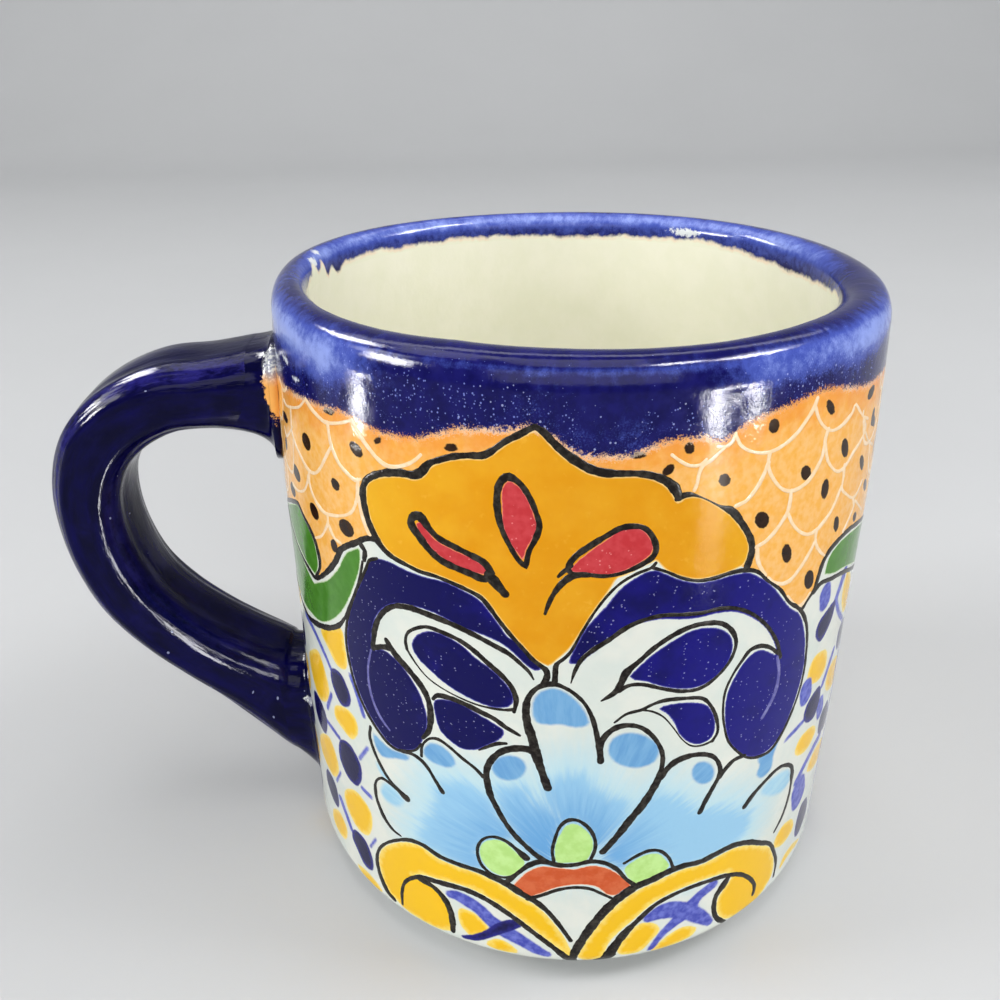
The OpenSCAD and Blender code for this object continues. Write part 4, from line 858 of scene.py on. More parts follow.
def paint_material(name, lining=False):
    g = Graph(name)
    p = g.attr("paint", True)
    fine = g.noise(p, 1.6, 3.0, 0.6)
    wob = g.math("MULTIPLY_ADD", fine, 0.26, -0.13)
    grain = g.noise(p, 5.0, 2.0, 0.6, at=(31, 7, 0))
    cloud = g.noise(p, 0.16, 3.0, 0.6, at=(5, 40, 0))
    blotch = g.noise(p, 0.5, 3.0, 0.6, at=(90, 12, 0))
    dabs = g.noise(p, 1.0, 2.0, 0.5, at=(17, 61, 0))

    cells = g.put("ShaderNodeTexVoronoi", {"Vector": p, "Scale": 2.4})
    lot = g.put("ShaderNodeSeparateColor", {0: cells.outputs["Color"]}).outputs[1]
    speck = g.ramp(g.math("SUBTRACT", g.math("MULTIPLY", g.ramp(lot, 0.66, 1.0), 0.28), cells.outputs["Distance"]), -0.03, 0.05)

    def edge(field, soft=0.05, shift=0.0, wobble=True):
        f = g.attr(field)
        if wobble:
            f = g.math("ADD", f, wob)
        return g.ramp(f, shift - soft, shift + soft)

    def fill(under, field, a, b, soft=0.05, by=None, halo=None, halo_w=0.18, grow=0.0):
        tone = g.mix(by or g.ramp(blotch, 0.35, 0.65), lin(a), lin(b))
        if halo:
            f = g.math("ADD", g.attr(field), wob)
            tone = g.mix(g.ramp(f, halo_w * 0.35 - grow, halo_w - grow), lin(halo), tone)
        return g.mix(edge(field, soft, -grow), under, tone)

    if lining:
        col = g.mix(g.ramp(cloud, 0.3, 0.7), lin(CREAM_A), lin(CREAM_B))
        col = g.mix(g.ramp(grain, 0.70, 0.80, 0.0, 0.2), col, lin("#d9d3b4"))
    else:
        col = g.mix(g.ramp(cloud, 0.35, 0.65), lin("#d8dfd7"), lin("#e2e4da"))
        # bare scale ground, deeper near the rim coat
        deep = g.ramp(g.math("MULTIPLY_ADD", blotch, 8.0, g.math("MULTIPLY", g.attr("f_band"), 1.0)), -2.0, 5.5)
        scale = g.mix(g.ramp(dabs, 0.3, 0.7), lin("#f4b04c"), lin("#f7bf72"))
        scale = g.mix(deep, scale, lin("#ee9636"))
        col = g.mix(edge("f_scale"), col, scale)
        # washes of the petals: streaks run out from the flower's heart
        q = g.put("ShaderNodeVectorMath", {0: g.attr("face", True), 1: (-2.9, 31.7, 0.0)}, operation="SUBTRACT").outputs[0]
        sep = g.put("ShaderNodeSeparateXYZ", {0: q})
        turn = g.math("ARCTAN2", sep.outputs[0], sep.outputs[1])
        far = g.put("ShaderNodeVectorMath", {0: q}, operation="LENGTH").outputs["Value"]
        polar = g.put("ShaderNodeCombineXYZ", {0: g.math("MULTIPLY", turn, 16.0), 1: g.math("MULTIPLY", far, 0.10), 2: 0.0}).outputs[0]
        streak = g.noise(polar, 1.3, 3.0, 0.65)
        wash = g.math("MULTIPLY_ADD", streak, 5.0, g.math("ADD", g.attr("f_wash"), -2.0))
        tone = g.mix(g.ramp(g.math("MULTIPLY_ADD", sep.outputs[0], 0.22, g.math("MULTIPLY_ADD", streak, 12.0, far)), 10.0, 25.0), lin("#68a4d8"), lin("#98c8e6"))
        col = g.mix(g.ramp(wash, -8.5, 0.5, 0.0, 0.9), col, lin("#b8dce8"))
        col = g.mix(g.ramp(wash, -1.6, 1.4), col, tone)
        col = fill(col, "f_tint", "#b0d8e8", "#9ccbe4", 0.5, by=g.ramp(streak, 0.3, 0.7))
        col = fill(col, "f_cap", "#689fd0", "#7cb0d8", 0.3, by=g.ramp(streak, 0.3, 0.7))
        core = g.math("MULTIPLY_ADD", dabs, 1.6, g.attr("f_yellow"))
        col = fill(col, "f_yellow", "#f9dc6e", "#f5c119", 0.16, by=g.ramp(core, 0.7, 1.9))
        col = fill(col, "f_peri", "#424aae", "#6e77cc", 0.22, by=g.ramp(dabs, 0.3, 0.75))
        col = fill(col, "f_lime", "#b4de80", "#c4ea94", 0.12)
        col = fill(col, "f_brick", "#cb562a", "#d66a40", 0.1, halo="#f0c8a4")
        col = fill(col, "f_oval", "#262686", "#0b0942", 0.14, by=g.ramp(g.math("MULTIPLY_ADD", dabs, 1.4, g.attr("f_oval")), 0.4, 1.9))
        navy = g.ramp(g.math("ADD", cloud, g.math("MULTIPLY", sep.outputs[0], 0.010)), 0.35, 0.75)
        col = fill(col, "f_navy", "#06044e", "#120d76", 0.07, by=navy, halo="#4a48a0", halo_w=0.2, grow=0.2)
        col = g.mix(g.math("MULTIPLY", edge("f_navy", 0.1, 0.3), g.math("MULTIPLY", speck, 0.55)), col, lin("#a9abd8"))
        mant = g.mix(g.ramp(cloud, 0.35, 0.7), lin("#df960a"), lin("#e5a21c"))
        aside = g.put("ShaderNodeMath", {0: sep.outputs[0]}, operation="ABSOLUTE").outputs[0]
        mant = g.mix(g.ramp(g.math("MULTIPLY_ADD", cloud, 8.0, aside), 14.0, 34.0, 0.0, 0.85), mant, lin("#ebb11e"))
        mant = g.mix(g.ramp(dabs, 0.62, 0.8, 0.0, 0.35), mant, lin("#f2b840"))
        mant = g.mix(g.ramp(g.attr("f_mantle"), -0.06, 0.2), lin("#f6d890"), mant)
        col = g.mix(edge("f_mantle", 0.05, -0.08), col, mant)
        col = fill(col, "f_red", "#bf3338", "#c94248", 0.06, by=g.ramp(dabs, 0.3, 0.7), halo="#e07a70", halo_w=0.13)
        col = g.mix(g.math("MULTIPLY", edge("f_red", 0.1, 0.2), g.math("MULTIPLY", speck, 0.5)), col, lin("#eba09c"))
        col = fill(col, "f_green", "#457e24", "#4f8a2e", 0.07, by=g.ramp(blotch, 0.3, 0.7), halo="#b8d09c")
        col = fill(col, "f_dot", "#22140c", "#36210f", 0.07)
    # rim coat: sprayed lower edge with bare flecks, brushed upper edge, paler in places where the coat runs thinner,
    # and paler still where reflections and a highlight along the front of the lip are painted into it
    f = g.attr("f_band")
    if not lining:
        high = g.put("ShaderNodeSeparateXYZ", {0: p}).outputs[2]
        col = g.mix(g.ramp(high, 103.0, 105.0), col, lin(CREAM_A))
    spray = g.math("ADD", f, g.math("MULTIPLY_ADD", grain, 2.0, -1.0))
    spray = g.math("ADD", spray, g.math("MULTIPLY_ADD", fine, 1.4, -0.7))
    brushed = g.math("ADD", g.attr("f_high"), g.math("MULTIPLY_ADD", dabs, 0.9, -0.45))
    spray = g.math("MINIMUM", spray, brushed)
    # how pale the rim coat shows: a thinner coat in places and sprayed grain near its lower edge, plus painted
    # reflections on the wall and a painted highlight along the front of the lip
    paler_and_reflected = g.math("ADD", g.attr("f_rim_pale_and_reflection"), g.math("MULTIPLY_ADD", cloud, 0.9, -0.45))
    paler_and_reflected = g.math("ADD", paler_and_reflected, g.math("MULTIPLY_ADD", dabs, 0.7, -0.35))
    sprayed = g.math("MULTIPLY", g.ramp(f, 0.0, 5.0, 1.6, 0.4), g.math("SUBTRACT", grain, 0.5))
    paler_and_reflected = g.math("ADD", paler_and_reflected, sprayed)
    blue = g.mix(g.ramp(blotch, 0.3, 0.7), lin("#0c0b4a"), lin("#15145e"))
    blue = g.mix(g.ramp(paler_and_reflected, 0.15, 0.95), blue, lin("#4656ae"))
    blue = g.mix(g.ramp(paler_and_reflected, 0.80, 1.5, 0.0, 0.85), blue, lin("#96a8e8"))
    fleck = g.put("ShaderNodeTexVoronoi", {"Vector": p, "Scale": 1.7})
    pick = g.put("ShaderNodeSeparateColor", {0: fleck.outputs["Color"]}).outputs[0]
    near = g.ramp(f, 0.2, 7.0, 0.0, 1.0, soft=False)
    size = g.math("MULTIPLY", g.ramp(g.math("SUBTRACT", pick, g.math("MULTIPLY", near, 0.50)), 0.15, 0.9), 0.24)
    dot = g.ramp(g.math("SUBTRACT", size, fleck.outputs["Distance"]), -0.02, 0.06)
    blue = g.mix(g.math("MULTIPLY", dot, 0.7), blue, lin("#a6aede"))
    dust = g.put("ShaderNodeTexVoronoi", {"Vector": p, "Scale": 3.0})
    pick = g.put("ShaderNodeSeparateColor", {0: dust.outputs["Color"]}).outputs[1]
    size = g.math("MULTIPLY", g.ramp(g.math("MULTIPLY_ADD", g.attr("f_dust"), 0.6, g.math("ADD", pick, -0.6)), 0.25, 0.95), 0.36)
    dot = g.ramp(g.math("SUBTRACT", size, dust.outputs["Distance"]), -0.05, 0.10)
    blue = g.mix(g.math("MULTIPLY", dot, 0.75), blue, lin("#7f8cd8"))
    spot = g.math("ADD", g.attr("f_spot"), g.math("MULTIPLY_ADD", fine, 1.6, -0.8))
    blue = g.mix(g.ramp(spot, -0.1, 0.25), blue, lin("#dfe3e6"))
    mask = g.ramp(spray, -0.4, 0.3)
    fringe = g.math("MULTIPLY", g.ramp(spray, -0.9, -0.3), g.ramp(cloud, 0.38, 0.62, 0.1, 0.65))
    col = g.mix(fringe, col, lin("#f3d8bc"))
    col = g.mix(mask, col, blue)
    g.link(col, "Base Color")
    g.link(g.ramp(blotch, 0.3, 0.75, 0.07, 0.17), "Roughness")
    peel = g.math("MULTIPLY", g.ramp(mask, 0.0, 1.0, 0.02, 0.09), grain)
    peel = g.math("MULTIPLY_ADD", dabs, 0.10, peel)
    g.bump(g.math("ADD", g.math("MULTIPLY", blotch, 0.45), peel), 0.16, 0.0006)
    return g.mat


def brush_material(name, a, b, rough=0.16):
    g = Graph(name, rough)
    p = g.attr("paint", True)
    t = g.noise(p, 1.2, 3.0, 0.6)
    g.link(g.mix(g.ramp(t, 0.38, 0.72), lin(a), lin(b)), "Base Color")
    g.bump(g.noise(p, 4.0, 2.0), 0.1, 0.0003)
    return g.mat


def cobalt_material(name, joint=False):
    g = Graph(name, 0.1, level=0.1)
    p = g.attr("paint", True)
    streak = g.noise(p, 0.5, 4.0, 0.6, stretch=(0.22, 1.0, 1.0))
    blot = g.noise(p, 0.22, 3.0, 0.6, at=(9, 4, 2))
    fine = g.noise(p, 1.3, 3.0, 0.6)
    grain = g.noise(p, 2.6, 2.0, 0.5)
    col = g.mix(g.ramp(streak, 0.35, 0.75), lin("#030328"), lin("#080644"))
    col = g.mix(g.ramp(blot, 0.55, 0.80, 0.0, 0.45), col, lin("#120e58"))
    if not joint:
        worn = g.math("MULTIPLY", g.attr("f_edge"), g.ramp(g.math("ADD", blot, g.math("MULTIPLY", fine, 0.6)), 0.62, 0.95))
        col = g.mix(g.math("MULTIPLY", worn, 0.5), col, lin("#302c80"))
    fleck = g.put("ShaderNodeTexVoronoi", {"Vector": p, "Scale": 0.45})
    pick = g.put("ShaderNodeSeparateColor", {0: fleck.outputs["Color"]}).outputs[0]
    size = g.math("MULTIPLY", g.ramp(pick, 0.55, 1.0), 0.12)
    col = g.mix(g.ramp(g.math("SUBTRACT", size, fleck.outputs["Distance"]), -0.01, 0.02, 0.0, 0.7), col, lin("#9aa0c8"))
    if joint:
        # the wall's paint laps over the slip, pale and broken at its edge
        lap = g.math("ADD", g.attr("f_lap"), g.math("MULTIPLY_ADD", fine, 2.4, -1.2))
        pale = g.mix(g.ramp(grain, 0.45, 0.6), lin("#8a8c9c"), lin("#d4d6d2"))
        tone = g.mix(g.attr("f_warm"), pale, lin("#eda955"))
        col = g.mix(g.ramp(lap, -0.1, 0.15), col, tone)
    g.link(col, "Base Color")
    g.link(g.ramp(blot, 0.3, 0.7, 0.06, 0.15), "Roughness")
    g.bump(g.math("ADD", streak, g.math("MULTIPLY", grain, 0.05)), 0.22, 0.0007)
    return g.mat


def clay_material(name):
    g = Graph(name, 0.86)
    p = g.attr("paint", True)
    big = g.noise(p, 0.12, 4.0, 0.6)
    grain = g.noise(p, 2.2, 3.0, 0.6)
    col = g.mix(g.ramp(big, 0.35, 0.65), lin("#cda878"), lin("#dcbd92"))
    col = g.mix(g.ramp(grain, 0.62, 0.74, 0.0, 0.5), col, lin("#a97f54"))
    g.link(col, "Base Color")
    g.bump(grain, 0.35, 0.0004)
    return g.mat


CREAM_A, CREAM_B = "#f0efdb", "#f4f2e1"
m_paint = paint_material("painted_glaze")
m_rim = paint_material("cobalt_rim_glaze")
m_cream = paint_material("cream_glaze", lining=True)
m_handle = cobalt_material("cobalt_handle_glaze")
m_joint = cobalt_material("glazed_slip", joint=True)
m_clay = clay_material("bare_clay")
m_ink = brush_material("black_line", "#16110e", "#3a3630")
m_hair = brush_material("pale_line", "#5f5da0", "#8280ba")
m_cream_line = brush_material("cream_line", "#f8d6a8", "#fae2c4")

# ---------------------------------------------------------------- the cup
us = columns(288, 300)
wall_rows = np.r_[np.linspace(V_GLAZE, 12, 12, endpoint=False), np.linspace(12, V_BAND, 148)]
cup_outside = coat("cup_outside", us, wall_rows, 0.4, [m_paint], inner_rows=10)
rim_rows = np.linspace(V_BAND, V_IN, 34)
cup_rim = coat("cup_rim", us, rim_rows, 0.4, [m_rim], inner_rows=12)


def fan_cup(name, us, vs, thick, mats):
    """A closed shell that runs to the middle of the floor."""
    n, rows = len(us), len(vs)
    u, v = np.tile(us, rows), np.repeat(vs, n)
    pick = np.unique(np.round(np.linspace(0, rows - 1, 26)).astype(int))
    ui, vi = np.tile(us, len(pick)), np.repeat(vs[pick], n)
    no, ni = normal(u, v), normal(ui, vi)
    m = rows * n
    k = m + len(pick) * n
    verts = np.vstack([point(u, v), point(ui, vi) - ni * thick, [[0, 0, FLOOR], [0, 0, FLOOR - thick]]])
    i = np.arange(n)
    j = (i + 1) % n
    q = [ring_quads(0, rows - 1, n), ring_quads(m, len(pick) - 1, n, True), np.stack([j, i, m + i, m + j], 1)]
    a, b = (rows - 1) * n, m + (len(pick) - 1) * n
    t = np.vstack([np.stack([a + i, a + j, np.full(n, k)], 1), np.stack([b + j, b + i, np.full(n, k + 1)], 1)])
    ua, va = np.r_[u, ui, 0, 0], np.r_[v, vi, V_END, V_END]
    attrs = {**rim_fields(ua, va), "paint": round_wall(ua, va)}
    return make_mesh(name, verts, np.vstack(q), t, np.vstack([no, -ni, [[0, 0, 1], [0, 0, -1]]]), attrs,
                     bake_uv(ua, va, V_IN, V_END), mats)


us_in = np.linspace(-HALF, HALF, 240, endpoint=False)
in_rows = np.r_[np.linspace(V_IN, 116, 16, endpoint=False), np.linspace(116, 196, 60, endpoint=False),
                np.linspace(196, V_END - 0.6, 30)]
cup_lining = fan_cup("cup_lining", us_in, in_rows, 0.4, [m_cream])


def clay_body(name, n, mats):
    """The fired clay: bare at the foot and heel, just under the glaze elsewhere."""
    us = np.linspace(-HALF, HALF, n, endpoint=False)
    vs = np.r_[np.linspace(0, V_GLAZE, 14), np.linspace(V_GLAZE + 0.3, 96, 30), np.linspace(98, 112, 16), np.linspace(116, V_END - 0.8, 40)]
    sink = np.interp(vs, [0, V_GLAZE - 0.02, V_GLAZE + 0.3, V_END], [0, 0, 0.37, 0.37])
    u, v, d = np.tile(us, len(vs)), np.repeat(vs, n), np.repeat(sink, n)
    no = normal(u, v)
    low = v < 0.4
    verts = point(u, v) - no * d[:, None]
    foot_r = np.array([32.6, 26.0, 18.0, 10.0, 4.0])
    th = us / R0
    foot = np.vstack([np.stack([r * np.sin(th), -r * np.cos(th), 0 * th + 0.0], 1) for r in foot_r])
    m, f = len(verts), len(foot_r)
    last = m + f * n
    verts = np.vstack([verts, foot, [[0, 0, 0], [0, 0, FLOOR - 0.37]]])
    i = np.arange(n)
    j = (i + 1) % n
    q = [ring_quads(0, len(vs) - 1, n), ring_quads(m, f - 1, n, True), np.stack([j, i, m + i, m + j], 1)]
    a, b = m + (f - 1) * n, (len(vs) - 1) * n
    t = np.vstack([np.stack([a + j, a + i, np.full(n, last)], 1), np.stack([b + i, b + j, np.full(n, last + 1)], 1)])
    p = verts.copy()
    return make_mesh(name, verts, np.vstack(q), t, attrs={"paint": p}, mats=mats)


cup_clay = clay_body("cup_clay", 240, [m_clay])

# ---------------------------------------------------------------- brush lines
jobs = []
for key, text in INK.items():
    c = curve(text, key.endswith("@"), 0.35)
    jobs.append((c, key.endswith("@"), 0, 0.045))
ink_lines = brush_lines("ink_lines", jobs, [m_ink])
hair_lines = brush_lines("hair_lines", [(curve(t, False, 0.35), False, 0, 0.035) for t in HAIR.values()]
                         + [(smooth_run(c, False, 0.35), False, 0, 0.035) for c in side_lines], [m_hair])


def above_ground(c):
    """The stretch of a scale line that lies between the leaves and the rim coat."""
    return c[c[:, 1] < band_low(c[:, 0]) + 0.1]


jobs = []
for text in CREAM.values():
    c = curve(text, False, 0.35)
    c[:, 2] = np.clip(c[:, 2] * 1.3, 0.4, 0.75)
    jobs.append((above_ground(c), False, 0, 0.03))
swag = curve(SWAG, False, 0.5)
for c in side_cream:
    c = above_ground(smooth_run(c, False, 0.35))
    c = c[c[:, 1] > np.interp(c[:, 0], swag[:, 0], swag[:, 1])]
    if len(c) > 4:
        jobs.append((c, False, 0, 0.03))
scale_lines = brush_lines("scale_lines", jobs, [m_cream_line])

# ---------------------------------------------------------------- the handle
X_END, REACH, TOP_Z, LOW_Z, STRAP_W, STRAP_T, POWER = 47.6, 74.6, 79.5, 21.0, 16.4, 10.6, 3.2
STRAP = np.array([[0, 1, 1.22], [.22, 1, 1.02], [.46, .99, 1.02], [.70, .94, 1.06], [.88, .86, 1.06], [.98, .75, 1.01], [1, .63, .98],
                  [.96, .51, .98], [.87, .40, 1], [.71, .30, 1.01], [.51, .215, 1.02], [.29, .13, 1.15], [.10, .05, 1.5], [0, 0, 1.88]])


def strap_at(t):
    n = len(STRAP) - 1
    pts = np.stack([X_END + (REACH - X_END) * STRAP[:, 0], LOW_Z + (TOP_Z - LOW_Z) * STRAP[:, 1], STRAP_T / 2 * STRAP[:, 2]], 1)
    i = np.minimum(np.floor(t).astype(int), n - 1)
    s = (t - i)[:, None]
    p0, p1, p2, p3 = (pts[np.clip(i + k, 0, n)] for k in (-1, 0, 1, 2))
    return 0.5 * (2 * p1 + (p2 - p0) * s + (2 * p0 - 5 * p1 + 4 * p2 - p3) * s**2 + (3 * p1 - p0 - 3 * p2 + p3) * s**3)


def power(c, k):
    return np.sign(c) * np.abs(c) ** (2 / k)


# top, bottom and their slopes toward the wall, at each end of the strap
UPPER = (TOP_Z + STRAP_T / 2 * 1.22, TOP_Z - STRAP_T / 2 * 1.22, 0.10, -0.20)
LOWER = (LOW_Z + STRAP_T / 2 * 1.88, LOW_Z - STRAP_T / 2 * 1.88, -0.25, -1.15)


def opened(law, x):
    """Middle and half height of an end, x being the distance from the cup's axis."""
    top, low = law[0] + law[2] * (X_END - x), law[1] + law[3] * (X_END - x)
    return (top + low) / 2, (top - low) / 2


def make_strap(name, mats, rings=170, sides=72):
    n = len(STRAP) - 1
    t = np.linspace(0, n, rings)
    c = strap_at(t)
    a, b = strap_at(np.maximum(t - 0.1, 0)), strap_at(np.minimum(t + 0.1, n))
    d = b[:, :2] - a[:, :2]
    m = np.stack([-d[:, 1], d[:, 0]], 1) / np.hypot(*d.T)[:, None]
    ends = np.minimum(t, n - t) * 3
    w = np.maximum(0, 1 - ends / 8)[:, None]
    m = m * (1 - w) + np.where(t < n / 2, 1.0, -1.0)[:, None] * np.array([0, 1.0]) * w
    m /= np.hypot(*m.T)[:, None]
    ang = 2 * math.pi * (np.arange(sides) + 0.5) / sides
    s = np.r_[0, np.cumsum(np.hypot(*np.diff(c[:, :2], axis=0).T))]
    # a strap pulled by hand: shallow ridges along it, and slow changes in width
    ridge = 0.10 * np.sin(9 * ang[None] + 0.5 * np.sin(s / 9)[:, None]) + 0.06 * np.sin(17 * ang[None] + 1.1 + s[:, None] / 14)
    slow = 0.16 * np.sin(s / 6.5 + 0.8)[:, None] * np.cos(2 * ang)[None] + 0.10 * np.sin(s / 4.1)[:, None] * np.cos(3 * ang + 0.4)[None]
    off = (ridge + slow) * np.clip(ends / 5, 0, 1)[:, None] - 0.10
    wide = 1.0 + 0.012 * np.sin(s / 11 + 1.2) + 0.010 * np.sin(s / 5.3)
    th = (c[:, 2:3] + off) * power(np.cos(ang), POWER)[None]
    y = (STRAP_W / 2 * wide[:, None] + off) * power(np.sin(ang), POWER)[None]
    x = -np.maximum(c[:, :1] + m[:, :1] * th, X_END + 0.15 * ends[:, None])
    z = c[:, 1:2] + m[:, 1:] * th
    verts = np.stack([x, y, z], -1)
    # both ends run on into the slip, and open out as they go
    first, last = verts[0].copy(), verts[-1].copy()
    for end, law, way in ((first, UPPER, 1), (last, LOWER, -1)):
        end[:, 0] += 3.6
        mid, half = opened(law, -end[:, 0])
        end[:, 2] = mid + way * (half - 0.12) * power(np.cos(ang), POWER)
    verts = np.concatenate([first[None], verts, last[None]])
    s = np.r_[-3.6, s, s[-1] + 3.6]
    rings += 2
    p = np.stack([np.repeat(s, sides), np.tile(8.0 * np.cos(ang), rings), np.tile(8.0 * np.sin(ang), rings)], 1)
    edge = np.exp(-(np.sin(2 * ang) ** 2 - 1) ** 2 / 0.12) * np.where(np.cos(ang) > 0, 1.0, 0.35)
    edge = np.r_[np.tile(edge, rings), 0, 0]
    flat = verts.reshape(-1, 3)
    k = len(flat)
    flat = np.vstack([flat, first.mean(0), last.mean(0)])
    p = np.vstack([p, [s[0], 0, 0], [s[-1], 0, 0]])
    i = np.arange(sides)
    j = (i + 1) % sides
    e = (rings - 1) * sides
    t = np.vstack([np.stack([j, i, np.full(sides, k)], 1), np.stack([e + i, e + j, np.full(sides, k + 1)], 1)])
    uv = np.stack([np.r_[np.tile((np.arange(sides) + 0.5) / sides, rings), 0.5, 0.5],
                   np.r_[np.repeat(np.linspace(0.01, 0.99, rings), sides), 0, 1]], 1)
    quads = ring_quads(0, rings - 1, sides)
    return make_mesh(name, flat, quads, t, attrs={"paint": p, "f_edge": edge}, uv=uv, mats=mats), verts


handle_strap, strap_rings = make_strap("handle_strap", [m_handle])


def wall_x(y, z):
    """How far the wall stands out toward the handle at y, z."""
    th = np.full(np.shape(y), -math.pi / 2)
    for _ in range(6):
        r = np.hypot(*np.moveaxis(deform(wall_r(z), z, th), -1, 0)[:2])
        th = -math.pi / 2 - np.arcsin(np.clip(y / r, -0.95, 0.95)) * -1.0
    q = deform(wall_r(z), z, th)
    return -q[..., 0]


def make_collar(name, path, spread, reach, lap, mats, rings=26):
    """The smoothed slip round one end of the handle, a concave fillet that runs out on the strap and the wall.

    path holds the strap's rings from inside the wall outward. spread and reach each hold a number for the
    top and sides and one for the underside."""
    sides = path.shape[1]
    ang = 2 * math.pi * (np.arange(sides) + 0.5) / sides
    bump = 1 + 0.08 * np.sin(3 * ang + 0.6) + 0.05 * np.sin(5 * ang + path[0, 0, 2])
    rise = path[1, :, 2] - path[1, :, 2].mean()
    under = np.clip(-rise / rise.max(), 0, 1) ** 2
    wide = (spread[0] + (spread[1] - spread[0]) * under) * bump
    long = (reach[0] + (reach[1] - reach[0]) * under) * bump
    face = np.cross(np.gradient(path, axis=0), np.roll(path, -1, 1) - np.roll(path, 1, 1))
    face /= np.linalg.norm(face, axis=-1, keepdims=True)
    face *= np.sign(((path - path.mean(1, keepdims=True)) * face).sum(-1, keepdims=True))
    off = np.maximum.accumulate(-path[..., 0] - wall_x(path[..., 1], path[..., 2]), 0) + 1e-6 * np.arange(len(path))[:, None]

    def along(field, d):
        return np.stack([[np.interp(d[q], off[:, q], field[:, q, k]) for k in range(3)] for q in range(sides)])

    rows, away = [], []
    for f in np.linspace(0, math.pi / 2, rings):
        extra = (wide * (1 - math.sin(f)) ** 1.5 - 0.012)[:, None]
        out = long * (1 - math.cos(f))
        at, no = along(path, out), along(face, out)
        wall = at * (1.0, 1.0, 0.0)
        wall /= np.linalg.norm(wall, axis=1, keepdims=True)
        w = float(ease(f / (math.pi / 2)))
        no = no - wall * (no * wall).sum(1, keepdims=True) * (1 - w)
        here = at + no / np.linalg.norm(no, axis=1, keepdims=True) * extra
        here[:, 0] -= (out - 0.05 + here[:, 0] + wall_x(here[:, 1], here[:, 2])) * (1 - w)
        rows.append(here)
        away.append(out)
    tip = along(path, long) - along(face, long) * 0.8
    back = rows[0].copy()
    back[:, 0] += 1.1
    rows = [back, *rows, tip]
    away = np.concatenate([away[0], *away, away[-1]])
    verts = np.vstack(rows)
    n = len(rows)
    k = len(verts)
    verts = np.vstack([verts, back.mean(0), tip.mean(0)])
    i = np.arange(sides)
    j = (i + 1) % sides
    e = (n - 1) * sides
    t = np.vstack([np.stack([j, i, np.full(sides, k)], 1), np.stack([e + i, e + j, np.full(sides, k + 1)], 1)])
    # how far the wall's paint laps over: most high up on the two sides
    z = verts[:, 2]
    laps = np.interp(z, *lap) - np.r_[away, 9.0, 9.0]
    laps = np.where(np.abs(verts[:, 1]) > 5.0, laps, -3.0)
    warm = ease((84.5 - z) / 2.5) * (z > 60)
    return make_mesh(name, verts, ring_quads(0, n - 1, sides), t, attrs={"paint": verts * 1.0, "f_lap": laps, "f_warm": warm}, mats=mats)


upper_slip = make_collar("upper_slip", strap_rings[:60], (1.5, 4.4), (5.0, 9.5), ([70.0, 73.0, 78.0, 82.0, 84.5, 88.0], [-1.4, -1.0, 0.0, 1.0, 0.9, -0.4]), [m_joint])
lower_slip = make_collar("lower_slip", strap_rings[:-61:-1], (1.6, 1.0), (6.0, 5.0), ([5.0, 12.0, 23.6, 25.5, 27.2, 40.0], [-1.6, -1.6, -1.2, 1.2, -1.0, -1.6]), [m_joint])

# ---------------------------------------------------------------- roles of the pieces
for ob, nodes, slot in ((cup_outside, ["outside_glaze"], "painted_glaze"), (cup_rim, ["rim_glaze"], "cobalt_glaze"),
                        (cup_lining, ["inside_glaze"], "cream_glaze"), (cup_clay, ["clay_cup"], "bare_clay"),
                        (handle_strap, ["handle", "handle_glaze"], "cobalt_glaze"), (upper_slip, ["upper_joint"], "glazed_slip"),
                        (lower_slip, ["lower_joint"], "glazed_slip"), (ink_lines, [], "painted_glaze"),
                        (hair_lines, [], "painted_glaze"), (scale_lines, [], "painted_glaze")):
    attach(ob, "root")
    if nodes:
        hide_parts(*nodes)

# ---------------------------------------------------------------- floor, light and camera
m_floor = Graph("floor", 0.55, level=0.0)
co = m_floor.put("ShaderNodeTexCoord").outputs["Object"]
m_floor.link(m_floor.mix(m_floor.noise(co, 9.0, 3.0), lin("#c2c3c4"), lin("#c7c8c9")), "Base Color")


def make_floor():
    t = np.linspace(0, math.pi / 2, 24)
    y = np.r_[-900.0, -400.0, 0.0, 500.0, 700 + 400 * np.sin(t), 1100.0]
    z = np.r_[0.0, 0.0, 0.0, 0.0, 400 * (1 - np.cos(t)), 1500.0]
    x = np.linspace(-1500, 1500, 9)
    verts = np.stack([np.tile(x, len(y)), np.repeat(y, len(x)), np.repeat(z, len(x)) - 0.02], 1)
    i, j = np.meshgrid(np.arange(len(y) - 1), np.arange(len(x) - 1), indexing="ij")
    a = (i * len(x) + j).ravel()
    return make_mesh("floor", verts, np.stack([a, a + 1, a + len(x) + 1, a + len(x)], 1), mats=[m_floor.mat])


floor = make_floor()


def area_light(name, at, to, size, power_w, spread=180.0):
    d = bpy.data.lights.new(name, "AREA")
    d.shape = "RECTANGLE"
    d.size, d.size_y = size
    d.energy = power_w
    d.spread = math.radians(spread)
    ob = bpy.data.objects.new(name, d)
    a, b = np.array(at, float), np.array(to, float)
    z = (a - b) / np.linalg.norm(a - b)
    x = np.cross((0, 0, 1), z) if abs(z[2]) < 0.999 else np.array((1.0, 0, 0))
    x /= np.linalg.norm(x)
    y = np.cross(z, x)
    ob.matrix_world = Matrix([[x[k], y[k], z[k], a[k]] for k in range(3)] + [[0, 0, 0, 1]])
    ob.visible_camera = False
    bpy.context.scene.collection.objects.link(ob)
    return ob


